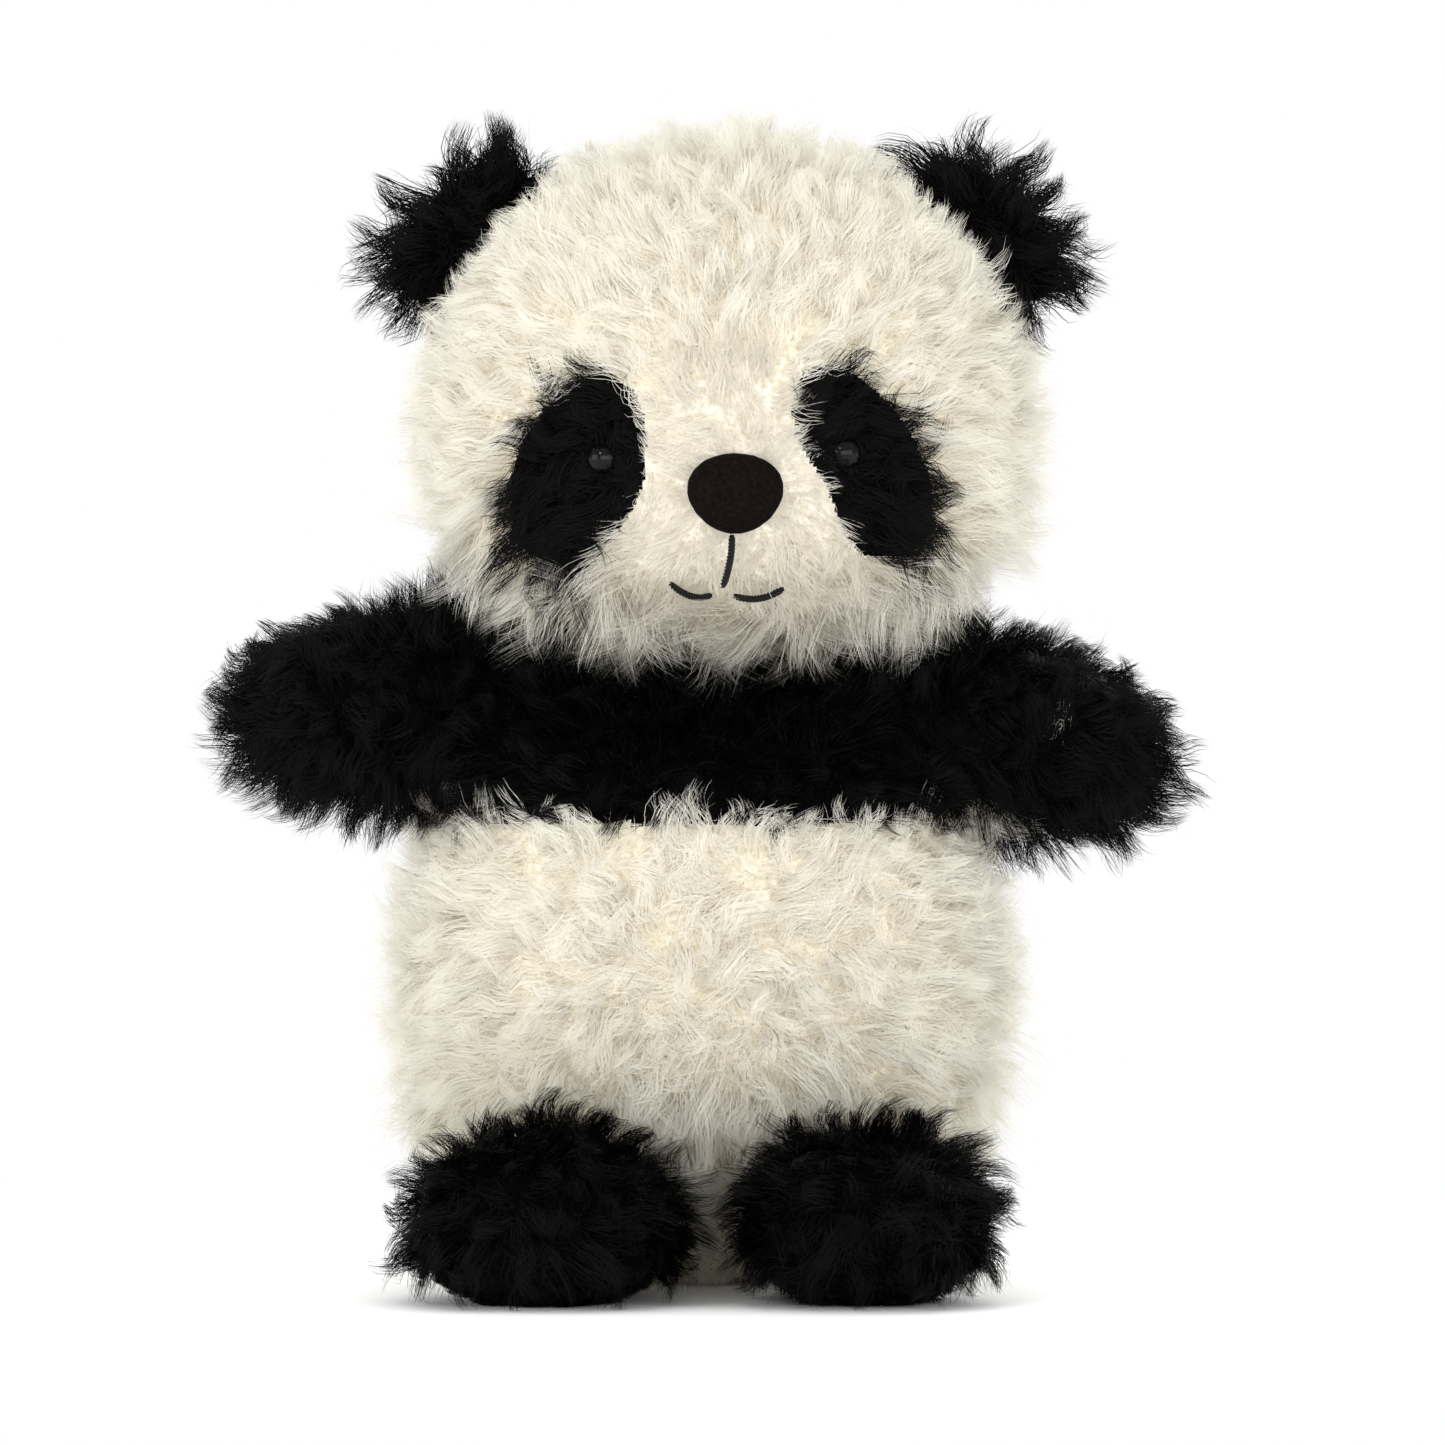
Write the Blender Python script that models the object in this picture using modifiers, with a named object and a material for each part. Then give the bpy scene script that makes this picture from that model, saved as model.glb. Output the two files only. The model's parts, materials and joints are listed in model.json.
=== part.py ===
"""Plush panda: a small standing toy sewn from fur-fabric panels over fibre stuffing.

Units are metres, +Z is up, the toy faces -Y and stands on z = 0.  Left and right are
the toy's own sides, so its left arm is at +X.  Each fur-fabric panel is one solid: its
knitted backing together with the dense part of the pile.
"""

import math

import bmesh
import bpy
from mathutils import Matrix, Vector
from mathutils.bvhtree import BVHTree

MM = 0.001

# Cloth
PILE = 4.5 * MM  # backing and dense pile of the fur fabric
SEAM = 0.3 * MM  # gap left between two sewn neighbours
LOOSE = 1.0 * MM  # gap between a fabric shell and what fills it
SURFACE_POWER = 2.4  # 2 is an ellipsoid, larger is boxier
REACHED = {1: 0.848, 2: 0.929, 3: 0.953}  # share of a cage its rounded surface fills, by cuts

# Body
BODY_HALF = Vector((44.0, 37.5, 47.9)) * MM
BODY_CENTRE = Vector((0.0, 0.0, 46.7)) * MM
YOKE_SEAM_Z = 73.0 * MM
SEAT_SEAM_Z = 9.0 * MM
SIDE_SEAM_Y = 4.0 * MM
BAG_TOP_Z = 30.0 * MM
LAP_Z = 32.0 * MM  # below this height the front of the body slopes back over the feet
LAP_DEPTH = 0.75

# Head
HEAD_HALF = Vector((45.0, 40.0, 39.7)) * MM
HEAD_CENTRE = Vector((4.0, 0.0, 137.0)) * MM
HEAD_POWER = 2.3
HEAD_SEAM_Y = 6.0 * MM
CROWN_SEAM_Z = 147.5 * MM
MUZZLE_BULGE = 7.0 * MM
MUZZLE_CENTRE = Vector((1.3, 0.0, -16.5)) * MM  # from the head's centre
MUZZLE_SPREAD = Vector((15.0, 1.0, 13.0)) * MM
NECK_GAP = HEAD_CENTRE.z - HEAD_HALF.z - BODY_CENTRE.z - BODY_HALF.z
NECK_OPENING_R = 9.0 * MM
NECK_RING_R = 16.0 * MM
THREAD_R = 0.45 * MM
NECK_THREAD_R = 0.5 * MM

# Eye patches: centre x and z, half width, half height, lean of the top towards the nose
PATCHES = {
    "right": (-20.3 * MM, 126.8 * MM, 11.2 * MM, 17.2 * MM, math.radians(14)),
    "left": (26.2 * MM, 128.2 * MM, 10.4 * MM, 17.6 * MM, math.radians(-24)),
}

PATCH_BACK_Y = -8.0 * MM  # the patches lie in front of this

# Bead eyes on shanks, locked by a washer behind the fabric
EYES = {"right": (-15.7 * MM, 128.5 * MM), "left": (22.2 * MM, 129.3 * MM)}
EYE_R = 2.6 * MM
EYE_PROUD = 1.0 * MM  # height of the bead's centre over the backing's outer face
BACKING = 1.5 * MM
SHANK_R = 1.0 * MM
WASHER_R = 3.4 * MM
WASHER_T = 1.0 * MM
WASHER_GAP = 1.2 * MM  # the fabric curves towards the washer's rim

# Nose and mouth
NOSE_CENTRE = Vector((5.3, 0.0, 123.2)) * MM
NOSE_HALF = Vector((7.3, 5.0, 6.2)) * MM
FELT = 0.9 * MM
MOUTH = {
    "mouth_thread_centre": ((4.65, 116.0), (4.3, 113.2), (3.95, 110.7), (3.4, 109.7)),
    "mouth_thread_right": ((-4.5, 110.2), (-2.5, 108.7), (-0.4, 107.9), (1.9, 108.5)),
    "mouth_thread_left": ((4.9, 108.4), (7.3, 107.6), (10.2, 108.3), (12.6, 109.4)),
}

# Ears: base from the head's centre, outward lean, half size
EAR_BASE = Vector((37.2, -3.0, 23.0)) * MM
EAR_LEAN = math.radians(44)
EAR_HALF = Vector((11.0, 4.6, 7.2)) * MM
EAR_STAND_OFF = 5.2 * MM
EAR_ROOT = 3.6 * MM  # how far the ear reaches below its fold line

# Arms: shoulder pivot, droop below level, reach outwards and inwards from the pivot
ARMS = {
    "right": (Vector((-40.0, -3.0, 90.5)) * MM, math.radians(4)),
    "left": (Vector((40.0, -3.0, 87.0)) * MM, math.radians(12)),
}
ARM_HALF_Y = 13.5 * MM
ARM_HALF_Z = 14.8 * MM
ARM_REACH = 32.5 * MM
ARM_ROOT = 13.0 * MM
SOCKET_R = 17.0 * MM

# Feet: centre x, half width, height; all reach the same distance forwards and back
FEET = {
    "right": (-23.7 * MM, 21.0 * MM, 25.5 * MM),
    "left": (25.3 * MM, 18.8 * MM, 27.0 * MM),
}
FOOT_FRONT_Y = -62.0 * MM
FOOT_BACK_Y = -18.0 * MM
HEEL_PIVOT_Y = -26.0 * MM
HEEL_PIVOT_Z = 8.0 * MM
SOLE_SEAM_Z = 5.5 * MM
SOLE_SINK = 1.5 * MM  # the rounded form reaches this far below the flat sole

# Tail
TAIL_PIVOT = Vector((0.0, 38.7, 21.0)) * MM
TAIL_HALF = Vector((9.5, 7.0, 8.0)) * MM

# The origin lies on the floor under the middle of the toy's bounding box
CENTRING = Vector((0.15, 6.3, 0.0)) * MM

CREAM = (0.80, 0.72, 0.56, 1.0)
WHITE = (0.86, 0.82, 0.74, 1.0)
BLACK = (0.008, 0.008, 0.009, 1.0)
FIBRE = (0.85, 0.85, 0.83, 1.0)
FELT_BROWN = (0.016, 0.011, 0.010, 1.0)

BIG = 0.5  # size of a cutter that spans the whole toy


def clear_scene():
    for obj in list(bpy.data.objects):
        bpy.data.objects.remove(obj)


def new_collection(name):
    collection = bpy.data.collections.new(name)
    bpy.context.scene.collection.children.link(collection)
    return collection


clear_scene()
TOY = new_collection("plush_panda")
TOOLS = new_collection("cutters")


def material(name, colour, roughness):
    mat = bpy.data.materials.get(name)
    if mat is None:
        mat = bpy.data.materials.new(name)
        mat.use_nodes = True
        shader = mat.node_tree.nodes["Principled BSDF"]
        shader.inputs["Base Color"].default_value = colour
        shader.inputs["Roughness"].default_value = roughness
        shader.inputs["Metallic"].default_value = 0.0
    return mat


def make_node(name, mesh, look, pivot=(0.0, 0.0, 0.0), turn=0.0):
    """A sub-part whose origin is its pivot, turned about the Y axis through it."""
    obj = bpy.data.objects.new(name, mesh)
    obj.location = pivot
    obj.rotation_euler = (0.0, turn, 0.0)
    mesh.shade_smooth()
    obj.data.materials.clear()
    obj.data.materials.append(material(name, *look))
    TOY.objects.link(obj)
    return obj


def make_cutter(name, mesh):
    obj = bpy.data.objects.new(name, mesh)
    obj.hide_render = True
    obj.display_type = "WIRE"
    TOOLS.objects.link(obj)
    return obj


# ---------------------------------------------------------------- forms and modifiers


def cage(half, power, cuts, shape=None, centre=Vector()):
    """A cube cage rounded to a superellipsoid, then shaped by a function of the point."""
    bm = bmesh.new()
    bmesh.ops.create_cube(bm, size=2.0)
    bmesh.ops.subdivide_edges(bm, edges=bm.edges[:], cuts=cuts, use_grid_fill=True)
    for vert in bm.verts:
        way = vert.co.normalized()
        reach = sum(abs(part) ** power for part in way) ** (-1.0 / power) / REACHED[cuts]
        point = Vector(way[i] * reach * half[i] for i in range(3)) + centre
        vert.co = shape(point) if shape else point
    mesh = bpy.data.meshes.new("cage")
    bm.to_mesh(mesh)
    bm.free()
    return mesh


def round_off(obj, levels=1):
    mod = obj.modifiers.new("round", "SUBSURF")
    mod.levels = levels
    mod.render_levels = levels


def hollow(obj, thickness):
    mod = obj.modifiers.new("shell", "SOLIDIFY")
    mod.thickness = thickness
    mod.offset = -1.0


def shrink(obj, distance):
    mod = obj.modifiers.new("shrink", "DISPLACE")
    mod.direction = "NORMAL"
    mod.mid_level = 0.0
    mod.strength = -distance


def cut(obj, cutter, operation="DIFFERENCE"):
    """Cuts with the solver that keeps a hollow form's outer and inner skins apart."""
    mod = obj.modifiers.new(cutter.name, "BOOLEAN")
    mod.operation = operation
    mod.solver = "MANIFOLD"
    mod.object = cutter


def panel(name, mesh, look, keep=(), remove=(), thickness=PILE, **place):
    """One fabric panel: the part of a hollow form that lies inside every keep cutter."""
    obj = make_node(name, mesh.copy(), look, **place)
    round_off(obj)
    hollow(obj, thickness)
    for cutter in keep:
        cut(obj, cutter, "INTERSECT")
    for cutter in remove:
        cut(obj, cutter)
    return obj


def filling(name, mesh, inset, keep=(), remove=(), look=(FIBRE, 0.9), **place):
    """The stuffing of a form: its surface moved inwards, clear of the fabric."""
    obj = make_node(name, mesh.copy(), look, **place)
    round_off(obj)
    shrink(obj, inset)
    for cutter in keep:
        cut(obj, cutter, "INTERSECT")
    for cutter in remove:
        cut(obj, cutter)
    return obj


def surface_tree(mesh, pivot=Vector()):
    """The rounded outer surface of a form, for placing what is sewn onto it."""
    probe = make_cutter("probe", mesh.copy())
    probe.data.transform(Matrix.Translation(pivot))
    round_off(probe)
    graph = bpy.context.evaluated_depsgraph_get()
    tree = BVHTree.FromObject(probe, graph)
    bpy.data.objects.remove(probe)
    return tree


# ---------------------------------------------------------------- cutters


def box(name, low, high):
    bm = bmesh.new()
    bmesh.ops.create_cube(bm, size=1.0)
    low = Vector(low)
    high = Vector(high)
    size = high - low
    bmesh.ops.scale(bm, vec=size, verts=bm.verts)
    bmesh.ops.translate(bm, vec=(low + high) / 2.0, verts=bm.verts)
    mesh = bpy.data.meshes.new(name)
    bm.to_mesh(mesh)
    bm.free()
    return make_cutter(name, mesh)


def side_of(name, axis, level, above):
    """A box that fills all space on one side of the level, half a seam away from it."""
    low = [-BIG] * 3
    high = [BIG] * 3
    if above:
        low[axis] = level + SEAM / 2.0
    else:
        high[axis] = level - SEAM / 2.0
    return box(name, low, high)


def rod(name, radius, depth, centre, along, segments=20):
    """A cylinder cutter whose axis runs along the given direction."""
    bm = bmesh.new()
    bmesh.ops.create_cone(
        bm, cap_ends=True, segments=segments, radius1=radius, radius2=radius, depth=depth
    )
    turn = Vector((0.0, 0.0, 1.0)).rotation_difference(Vector(along)).to_matrix().to_4x4()
    bm.transform(Matrix.Translation(centre) @ turn)
    mesh = bpy.data.meshes.new(name)
    bm.to_mesh(mesh)
    bm.free()
    return make_cutter(name, mesh)


def ball(name, radius, centre):
    bm = bmesh.new()
    bmesh.ops.create_icosphere(bm, subdivisions=3, radius=radius)
    bmesh.ops.translate(bm, vec=centre, verts=bm.verts)
    mesh = bpy.data.meshes.new(name)
    bm.to_mesh(mesh)
    bm.free()
    return make_cutter(name, mesh)


def face_prism(name, outline, back_y):
    """A prism from an XZ outline, running along Y from in front of the toy to back_y."""
    data = bpy.data.curves.new(name, "CURVE")
    data.dimensions = "2D"
    data.fill_mode = "BOTH"
    data.extrude = BIG / 2.0
    line = data.splines.new("POLY")
    line.points.add(len(outline) - 1)
    for point, (x, z) in zip(line.points, outline):
        point.co = (x, z, 0.0, 1.0)
    line.use_cyclic_u = True
    curve = bpy.data.objects.new(name + "_outline", data)
    upright = Matrix.Rotation(math.pi / 2.0, 4, "X")
    curve.matrix_world = Matrix.Translation((0.0, back_y - BIG / 2.0, 0.0)) @ upright
    TOOLS.objects.link(curve)
    graph = bpy.context.evaluated_depsgraph_get()
    mesh = bpy.data.meshes.new_from_object(curve.evaluated_get(graph))
    bm = bmesh.new()
    bm.from_mesh(mesh)
    bmesh.ops.remove_doubles(bm, verts=bm.verts, dist=0.01 * MM)
    bmesh.ops.recalc_face_normals(bm, faces=bm.faces)
    bm.to_mesh(mesh)
    bm.free()
    cutter = make_cutter(name, mesh)
    cutter.matrix_world = curve.matrix_world.copy()
    bpy.data.objects.remove(curve)
    return cutter


def oval_outline(centre_x, centre_z, half_x, half_z, lean, grow=0.0, steps=22):
    points = []
    for step in range(steps):
        angle = 2.0 * math.pi * step / steps
        x = (half_x + grow) * math.cos(angle)
        z = (half_z + grow) * math.sin(angle)
        points.append(
            (
                centre_x + x * math.cos(lean) + z * math.sin(lean),
                centre_z - x * math.sin(lean) + z * math.cos(lean),
            )
        )
    return points


# ---------------------------------------------------------------- body


def body_shape(point):
    """The front of the body slopes back below the lap, to leave room for the feet."""
    if point.y < 0.0 and point.z < LAP_Z:
        drop = (LAP_Z - max(point.z, 0.0)) / LAP_Z
        point.y *= 1.0 - LAP_DEPTH * drop**1.3
    return point


def make_body(neck):
    fine = cage(BODY_HALF, SURFACE_POWER, 3, body_shape, BODY_CENTRE)
    coarse = cage(BODY_HALF, SURFACE_POWER, 2, body_shape, BODY_CENTRE)
    floor = box("floor_cut", (-BIG, -BIG, -BIG), (BIG, BIG, 0.0))
    above_yoke = side_of("above_yoke_seam", 2, YOKE_SEAM_Z, True)
    below_yoke = side_of("below_yoke_seam", 2, YOKE_SEAM_Z, False)
    above_seat = side_of("above_seat_seam", 2, SEAT_SEAM_Z, True)
    below_seat = side_of("below_seat_seam", 2, SEAT_SEAM_Z, False)
    front = side_of("front_of_side_seam", 1, SIDE_SEAM_Y, False)
    back = side_of("back_of_side_seam", 1, SIDE_SEAM_Y, True)
    left = side_of("left_of_back_seam", 0, 0.0, True)
    right = side_of("right_of_back_seam", 0, 0.0, False)
    above_bag = side_of("above_bead_bag", 2, BAG_TOP_Z, True)
    below_bag = side_of("below_bead_bag", 2, BAG_TOP_Z, False)
    sockets = [ball("socket_" + side, SOCKET_R, ARMS[side][0]) for side in ARMS]
    black = (BLACK, 0.85)
    cream = (CREAM, 0.85)
    pieces = {
        "yoke_front": (black, (above_yoke, front), (*sockets, neck)),
        "yoke_back": (black, (above_yoke, back), (*sockets, neck)),
        "belly_front": (cream, (below_yoke, above_seat, front), sockets),
        "belly_back_left": (cream, (below_yoke, above_seat, back, left), sockets),
        "belly_back_right": (cream, (below_yoke, above_seat, back, right), sockets),
        "seat_panel": (cream, (below_seat,), (floor,)),
    }
    for name, (look, keep, remove) in pieces.items():
        panel(name, fine, look, keep, remove)
    inset = PILE + LOOSE
    filling("body_stuffing", coarse, inset, (above_bag,), sockets)
    filling("bead_bag", coarse, inset, (below_bag,), look=((0.55, 0.55, 0.52, 1.0), 0.6))
    return surface_tree(fine)


# ---------------------------------------------------------------- head


def head_shape(point):
    """The muzzle bulges forward from the lower middle of the face."""
    if point.y < 0.0:
        across = (point.x - MUZZLE_CENTRE.x) / MUZZLE_SPREAD.x
        up = (point.z - MUZZLE_CENTRE.z) / MUZZLE_SPREAD.z
        point.y -= MUZZLE_BULGE * math.exp(-0.5 * (across**2 + up**2))
    return point


def muzzle_outline(grow=0.0):
    """The white wedge: narrow between the eye patches, wide at the cheeks and chin."""
    heights = (150.0, 140.0, 130.0, 120.0, 110.0, 90.0)
    widths = (9.5, 10.5, 13.0, 19.0, 26.0, 31.0)
    sides = [
        (width * MM + grow, height * MM) for height, width in zip(heights, widths)
    ]
    left = [(HEAD_CENTRE.x + width, height) for width, height in sides]
    right = [(HEAD_CENTRE.x - width, height) for width, height in reversed(sides)]
    return left + right


def on_face(tree, x, z):
    """The point and outward normal of the head's surface straight in front of x, z."""
    point, normal, _, _ = tree.ray_cast(Vector((x, -BIG, z)), Vector((0.0, 1.0, 0.0)))
    return point, normal


def turned(name, profile, look, base, along, ring=False, segments=16):
    """A turned piece: its profile of (radius, height) runs down its outer side.

    A ring's profile closes on itself; any other starts and ends on the axis.
    """
    mesh = bpy.data.meshes.new(name)
    points = [(radius, 0.0, height) for radius, height in profile]
    edges = [(i, i + 1) for i in range(len(points) - 1)]
    if ring:
        edges.append((len(points) - 1, 0))
    mesh.from_pydata(points, edges, [])
    obj = make_node(name, mesh, look, pivot=base)
    obj.rotation_mode = "QUATERNION"
    obj.rotation_quaternion = Vector((0.0, 0.0, 1.0)).rotation_difference(along)
    mod = obj.modifiers.new("turn", "SCREW")
    mod.steps = segments
    mod.render_steps = segments
    mod.use_merge_vertices = True
    mod.merge_threshold = 0.00001
    mod.use_smooth_shade = True
    return obj


def make_eye(side, tree):
    """Returns the cutters that the fabric and the stuffing need around this eye."""
    x, z = EYES[side]
    surface, normal = on_face(tree, x, z)
    backing = surface - normal * (PILE - BACKING)
    centre = backing + normal * EYE_PROUD
    inside = backing - normal * (BACKING + WASHER_GAP)
    shank_end = inside - normal * (WASHER_T + 1.2 * MM)
    shank = (centre - shank_end).length
    foot = math.asin(SHANK_R / EYE_R)
    bead = []
    steps = 9
    for step in range(steps + 1):
        angle = (math.pi - foot) * step / steps
        bead.append((EYE_R * math.sin(angle), EYE_R * math.cos(angle)))
    bead[0] = (0.0, EYE_R)
    bead += [(SHANK_R, -shank), (0.0, -shank)]
    turned("eye_" + side, bead, ((0.004, 0.004, 0.005, 1.0), 0.06), centre, normal)
    bore = SHANK_R + SEAM
    half = WASHER_T / 2.0
    washer = [(bore, half), (WASHER_R, half), (WASHER_R, -half), (bore, -half)]
    place = inside - normal * half
    look = ((0.7, 0.7, 0.68, 1.0), 0.4)
    turned("eye_washer_" + side, washer, look, place, normal, ring=True)
    nest_floor = backing + normal * (EYE_PROUD - EYE_R - SEAM)
    nest_depth = 12.0 * MM
    nest = rod(
        "eye_nest_" + side, EYE_R + SEAM, nest_depth, nest_floor + normal * nest_depth / 2.0, normal
    )
    hole = rod("shank_hole_" + side, bore, 20.0 * MM, backing, normal)
    room_depth = 8.0 * MM
    room = rod(
        "washer_room_" + side,
        WASHER_R + 2.0 * SEAM,
        room_depth,
        inside + normal * (WASHER_GAP - room_depth / 2.0),
        normal,
    )
    return nest, hole, room


def nose_shape(point):
    """The nose narrows to a soft point at its lower edge."""
    if point.z < 0.0:
        point.x *= 1.0 - 0.30 * (-point.z / NOSE_HALF.z)
    return point


def make_nose(tree):
    steps = (-1.0, -0.5, 0.0, 0.5, 1.0)
    reach = [
        on_face(tree, NOSE_CENTRE.x + i * NOSE_HALF.x, NOSE_CENTRE.z + j * NOSE_HALF.z)[0].y
        for i in steps
        for j in steps
    ]
    back_y = min(reach) - SEAM
    place = Vector((NOSE_CENTRE.x, back_y, NOSE_CENTRE.z))
    mesh = cage(NOSE_HALF, 2.2, 1, nose_shape)
    in_front = box("nose_back_cut", (-BIG, -BIG, -BIG), (BIG, back_y, BIG))
    panel("nose_cover", mesh, (FELT_BROWN, 0.95), (in_front,), thickness=FELT, pivot=place)
    filling("nose_padding", mesh, FELT + SEAM, (in_front,), pivot=place)


def make_thread(name, route, tree, radius):
    """A satin-stitched stroke: thread lying on the fabric along a route of x, z points."""
    data = bpy.data.curves.new(name, "CURVE")
    data.dimensions = "3D"
    data.bevel_depth = radius
    data.bevel_resolution = 1
    data.use_fill_caps = True
    line = data.splines.new("POLY")
    line.points.add(len(route) - 1)
    for point, (x, z) in zip(line.points, route):
        surface, normal = on_face(tree, x * MM, z * MM)
        point.co = (*(surface + normal * (radius + 2.0 * SEAM)), 1.0)
    obj = bpy.data.objects.new(name, data)
    data.materials.append(material(name, BLACK, 0.6))
    TOY.objects.link(obj)
    return obj


def make_neck_ring(neck_centre, body):
    """The thread that sews the head on: a ring lying on the top of the body."""
    heights = []
    for step in range(12):
        angle = 2.0 * math.pi * step / 12
        out = Vector((math.cos(angle), math.sin(angle), 0.0)) * NECK_RING_R
        above = neck_centre + out + Vector((0.0, 0.0, BIG))
        heights.append(body.ray_cast(above, Vector((0.0, 0.0, -1.0)))[0].z)
    pivot = Vector((neck_centre.x, neck_centre.y, max(heights) + NECK_THREAD_R + SEAM))
    bpy.ops.mesh.primitive_torus_add(
        major_radius=NECK_RING_R,
        minor_radius=NECK_THREAD_R,
        major_segments=24,
        minor_segments=6,
    )
    ring = bpy.context.object
    mesh = ring.data
    bpy.data.objects.remove(ring)
    return make_node("neck_seam_thread", mesh, (CREAM, 0.7), pivot=pivot)


def make_head(neck):
    centre = HEAD_CENTRE
    pivot = Vector((centre.x, centre.y, centre.z - HEAD_HALF.z - NECK_GAP / 2.0))
    raise_by = centre - pivot

    def shape(point):
        return head_shape(point) + raise_by

    fine = cage(HEAD_HALF, HEAD_POWER, 3, shape)
    coarse = cage(HEAD_HALF, HEAD_POWER, 2, shape)
    tree = surface_tree(fine, pivot)
    front = side_of("front_of_head_seam", 1, HEAD_SEAM_Y, False)
    back = side_of("back_of_head_seam", 1, HEAD_SEAM_Y, True)
    left = side_of("left_of_head_seam", 0, centre.x, True)
    right = side_of("right_of_head_seam", 0, centre.x, False)
    above = side_of("above_crown_seam", 2, CROWN_SEAM_Z, True)
    below = side_of("below_crown_seam", 2, CROWN_SEAM_Z, False)
    wedge_back = 2.0 * HEAD_SEAM_Y
    wedge = face_prism("muzzle_wedge", muzzle_outline(), wedge_back)
    wedge_room = face_prism("muzzle_wedge_room", muzzle_outline(SEAM), wedge_back)
    patches = {}
    patch_rooms = {}
    for side, oval in PATCHES.items():
        patches[side] = face_prism("patch_" + side, oval_outline(*oval), PATCH_BACK_Y)
        room = oval_outline(*oval, grow=SEAM)
        patch_rooms[side] = face_prism("patch_room_" + side, room, PATCH_BACK_Y + SEAM)
    cream = (CREAM, 0.85)
    black = (BLACK, 0.85)
    rooms = []
    for side in EYES:
        nest, hole, room = make_eye(side, tree)
        rooms.append(room)
        panel("eye_patch_" + side, fine, black, (patches[side],), (nest, hole), pivot=pivot)
    panel("head_back_left", fine, cream, (back, left), (neck,), pivot=pivot)
    panel("head_back_right", fine, cream, (back, right), (neck,), pivot=pivot)
    panel("crown_panel", fine, cream, (front, above), (), pivot=pivot)
    cheek_cuts = (wedge_room, *patch_rooms.values(), neck)
    panel("cheek_left", fine, cream, (front, below, left), cheek_cuts, pivot=pivot)
    panel("cheek_right", fine, cream, (front, below, right), cheek_cuts, pivot=pivot)
    muzzle_cuts = (*patch_rooms.values(), neck)
    panel("muzzle_panel", fine, (WHITE, 0.85), (wedge, front, below), muzzle_cuts, pivot=pivot)
    filling("head_stuffing", coarse, PILE + LOOSE, (), rooms, pivot=pivot)
    make_nose(tree)
    for name, route in MOUTH.items():
        make_thread(name, route, tree, THREAD_R)


# ---------------------------------------------------------------- ears, arms, feet, tail


def make_ear(side):
    sign = 1.0 if side == "left" else -1.0
    out = Vector((sign * math.cos(EAR_LEAN), 0.0, math.sin(EAR_LEAN)))
    base = HEAD_CENTRE + Vector((sign * EAR_BASE.x, EAR_BASE.y, EAR_BASE.z))
    pivot = base + out * EAR_STAND_OFF
    turn = sign * (math.pi / 2.0 - EAR_LEAN)
    lift = Vector((0.0, 0.0, EAR_HALF.z - EAR_ROOT))
    mesh = cage(EAR_HALF, SURFACE_POWER, 1, None, lift)
    front = side_of("ear_front_" + side, 1, base.y, False)
    back = side_of("ear_back_" + side, 1, base.y, True)
    for layer, cutter in (("front", front), ("back", back)):
        obj = make_node(f"ear_{side}_{layer}", mesh.copy(), (BLACK, 0.85), pivot, turn)
        round_off(obj)
        cut(obj, cutter, "INTERSECT")


def make_arm(side):
    pivot, droop = ARMS[side]
    sign = 1.0 if side == "left" else -1.0
    half = Vector(((ARM_REACH + ARM_ROOT) / 2.0, ARM_HALF_Y, ARM_HALF_Z))
    shift = Vector((sign * (ARM_REACH - ARM_ROOT) / 2.0, 0.0, 0.0))
    fine = cage(half, SURFACE_POWER, 2, None, shift)
    coarse = cage(half, SURFACE_POWER, 1, None, shift)
    front = side_of("arm_front_" + side, 1, pivot.y, False)
    back = side_of("arm_back_" + side, 1, pivot.y, True)
    place = {"pivot": pivot, "turn": sign * droop}
    black = (BLACK, 0.85)
    panel(f"arm_{side}_front", fine, black, (front,), **place)
    panel(f"arm_{side}_back", fine, black, (back,), **place)
    filling(f"arm_{side}_stuffing", coarse, PILE + LOOSE / 2.0, **place)


def make_foot(side):
    centre_x, half_x, height = FEET[side]
    pivot = Vector((centre_x, HEEL_PIVOT_Y, HEEL_PIVOT_Z))
    half_y = (FOOT_BACK_Y - FOOT_FRONT_Y) / 2.0
    middle_y = (FOOT_BACK_Y + FOOT_FRONT_Y) / 2.0
    half = Vector((half_x, half_y, (height + SOLE_SINK) / 2.0))
    centre = Vector((centre_x, middle_y, (height - SOLE_SINK) / 2.0))

    def shape(point):
        """The instep slopes down to the heel, and the foot narrows towards it."""
        heel = max(0.0, (point.y - middle_y) / half_y)
        ease = heel * heel * (3.0 - 2.0 * heel)
        point.z = -SOLE_SINK + (point.z + SOLE_SINK) * (1.0 - 0.42 * ease)
        point.x = centre_x + (point.x - centre_x) * (1.0 - 0.20 * ease)
        return point - pivot

    fine = cage(half, SURFACE_POWER, 2, shape, centre)
    coarse = cage(half, SURFACE_POWER, 1, shape, centre)
    floor = box("foot_floor_" + side, (-BIG, -BIG, -BIG), (BIG, BIG, 0.0))
    above = side_of("above_sole_" + side, 2, SOLE_SEAM_Z, True)
    below = side_of("below_sole_" + side, 2, SOLE_SEAM_Z, False)
    black = (BLACK, 0.85)
    panel(f"foot_{side}_upper", fine, black, (above,), pivot=pivot)
    panel(f"foot_{side}_sole", fine, black, (below,), (floor,), pivot=pivot)
    filling(f"foot_{side}_stuffing", coarse, PILE + LOOSE / 2.0, pivot=pivot)


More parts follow.
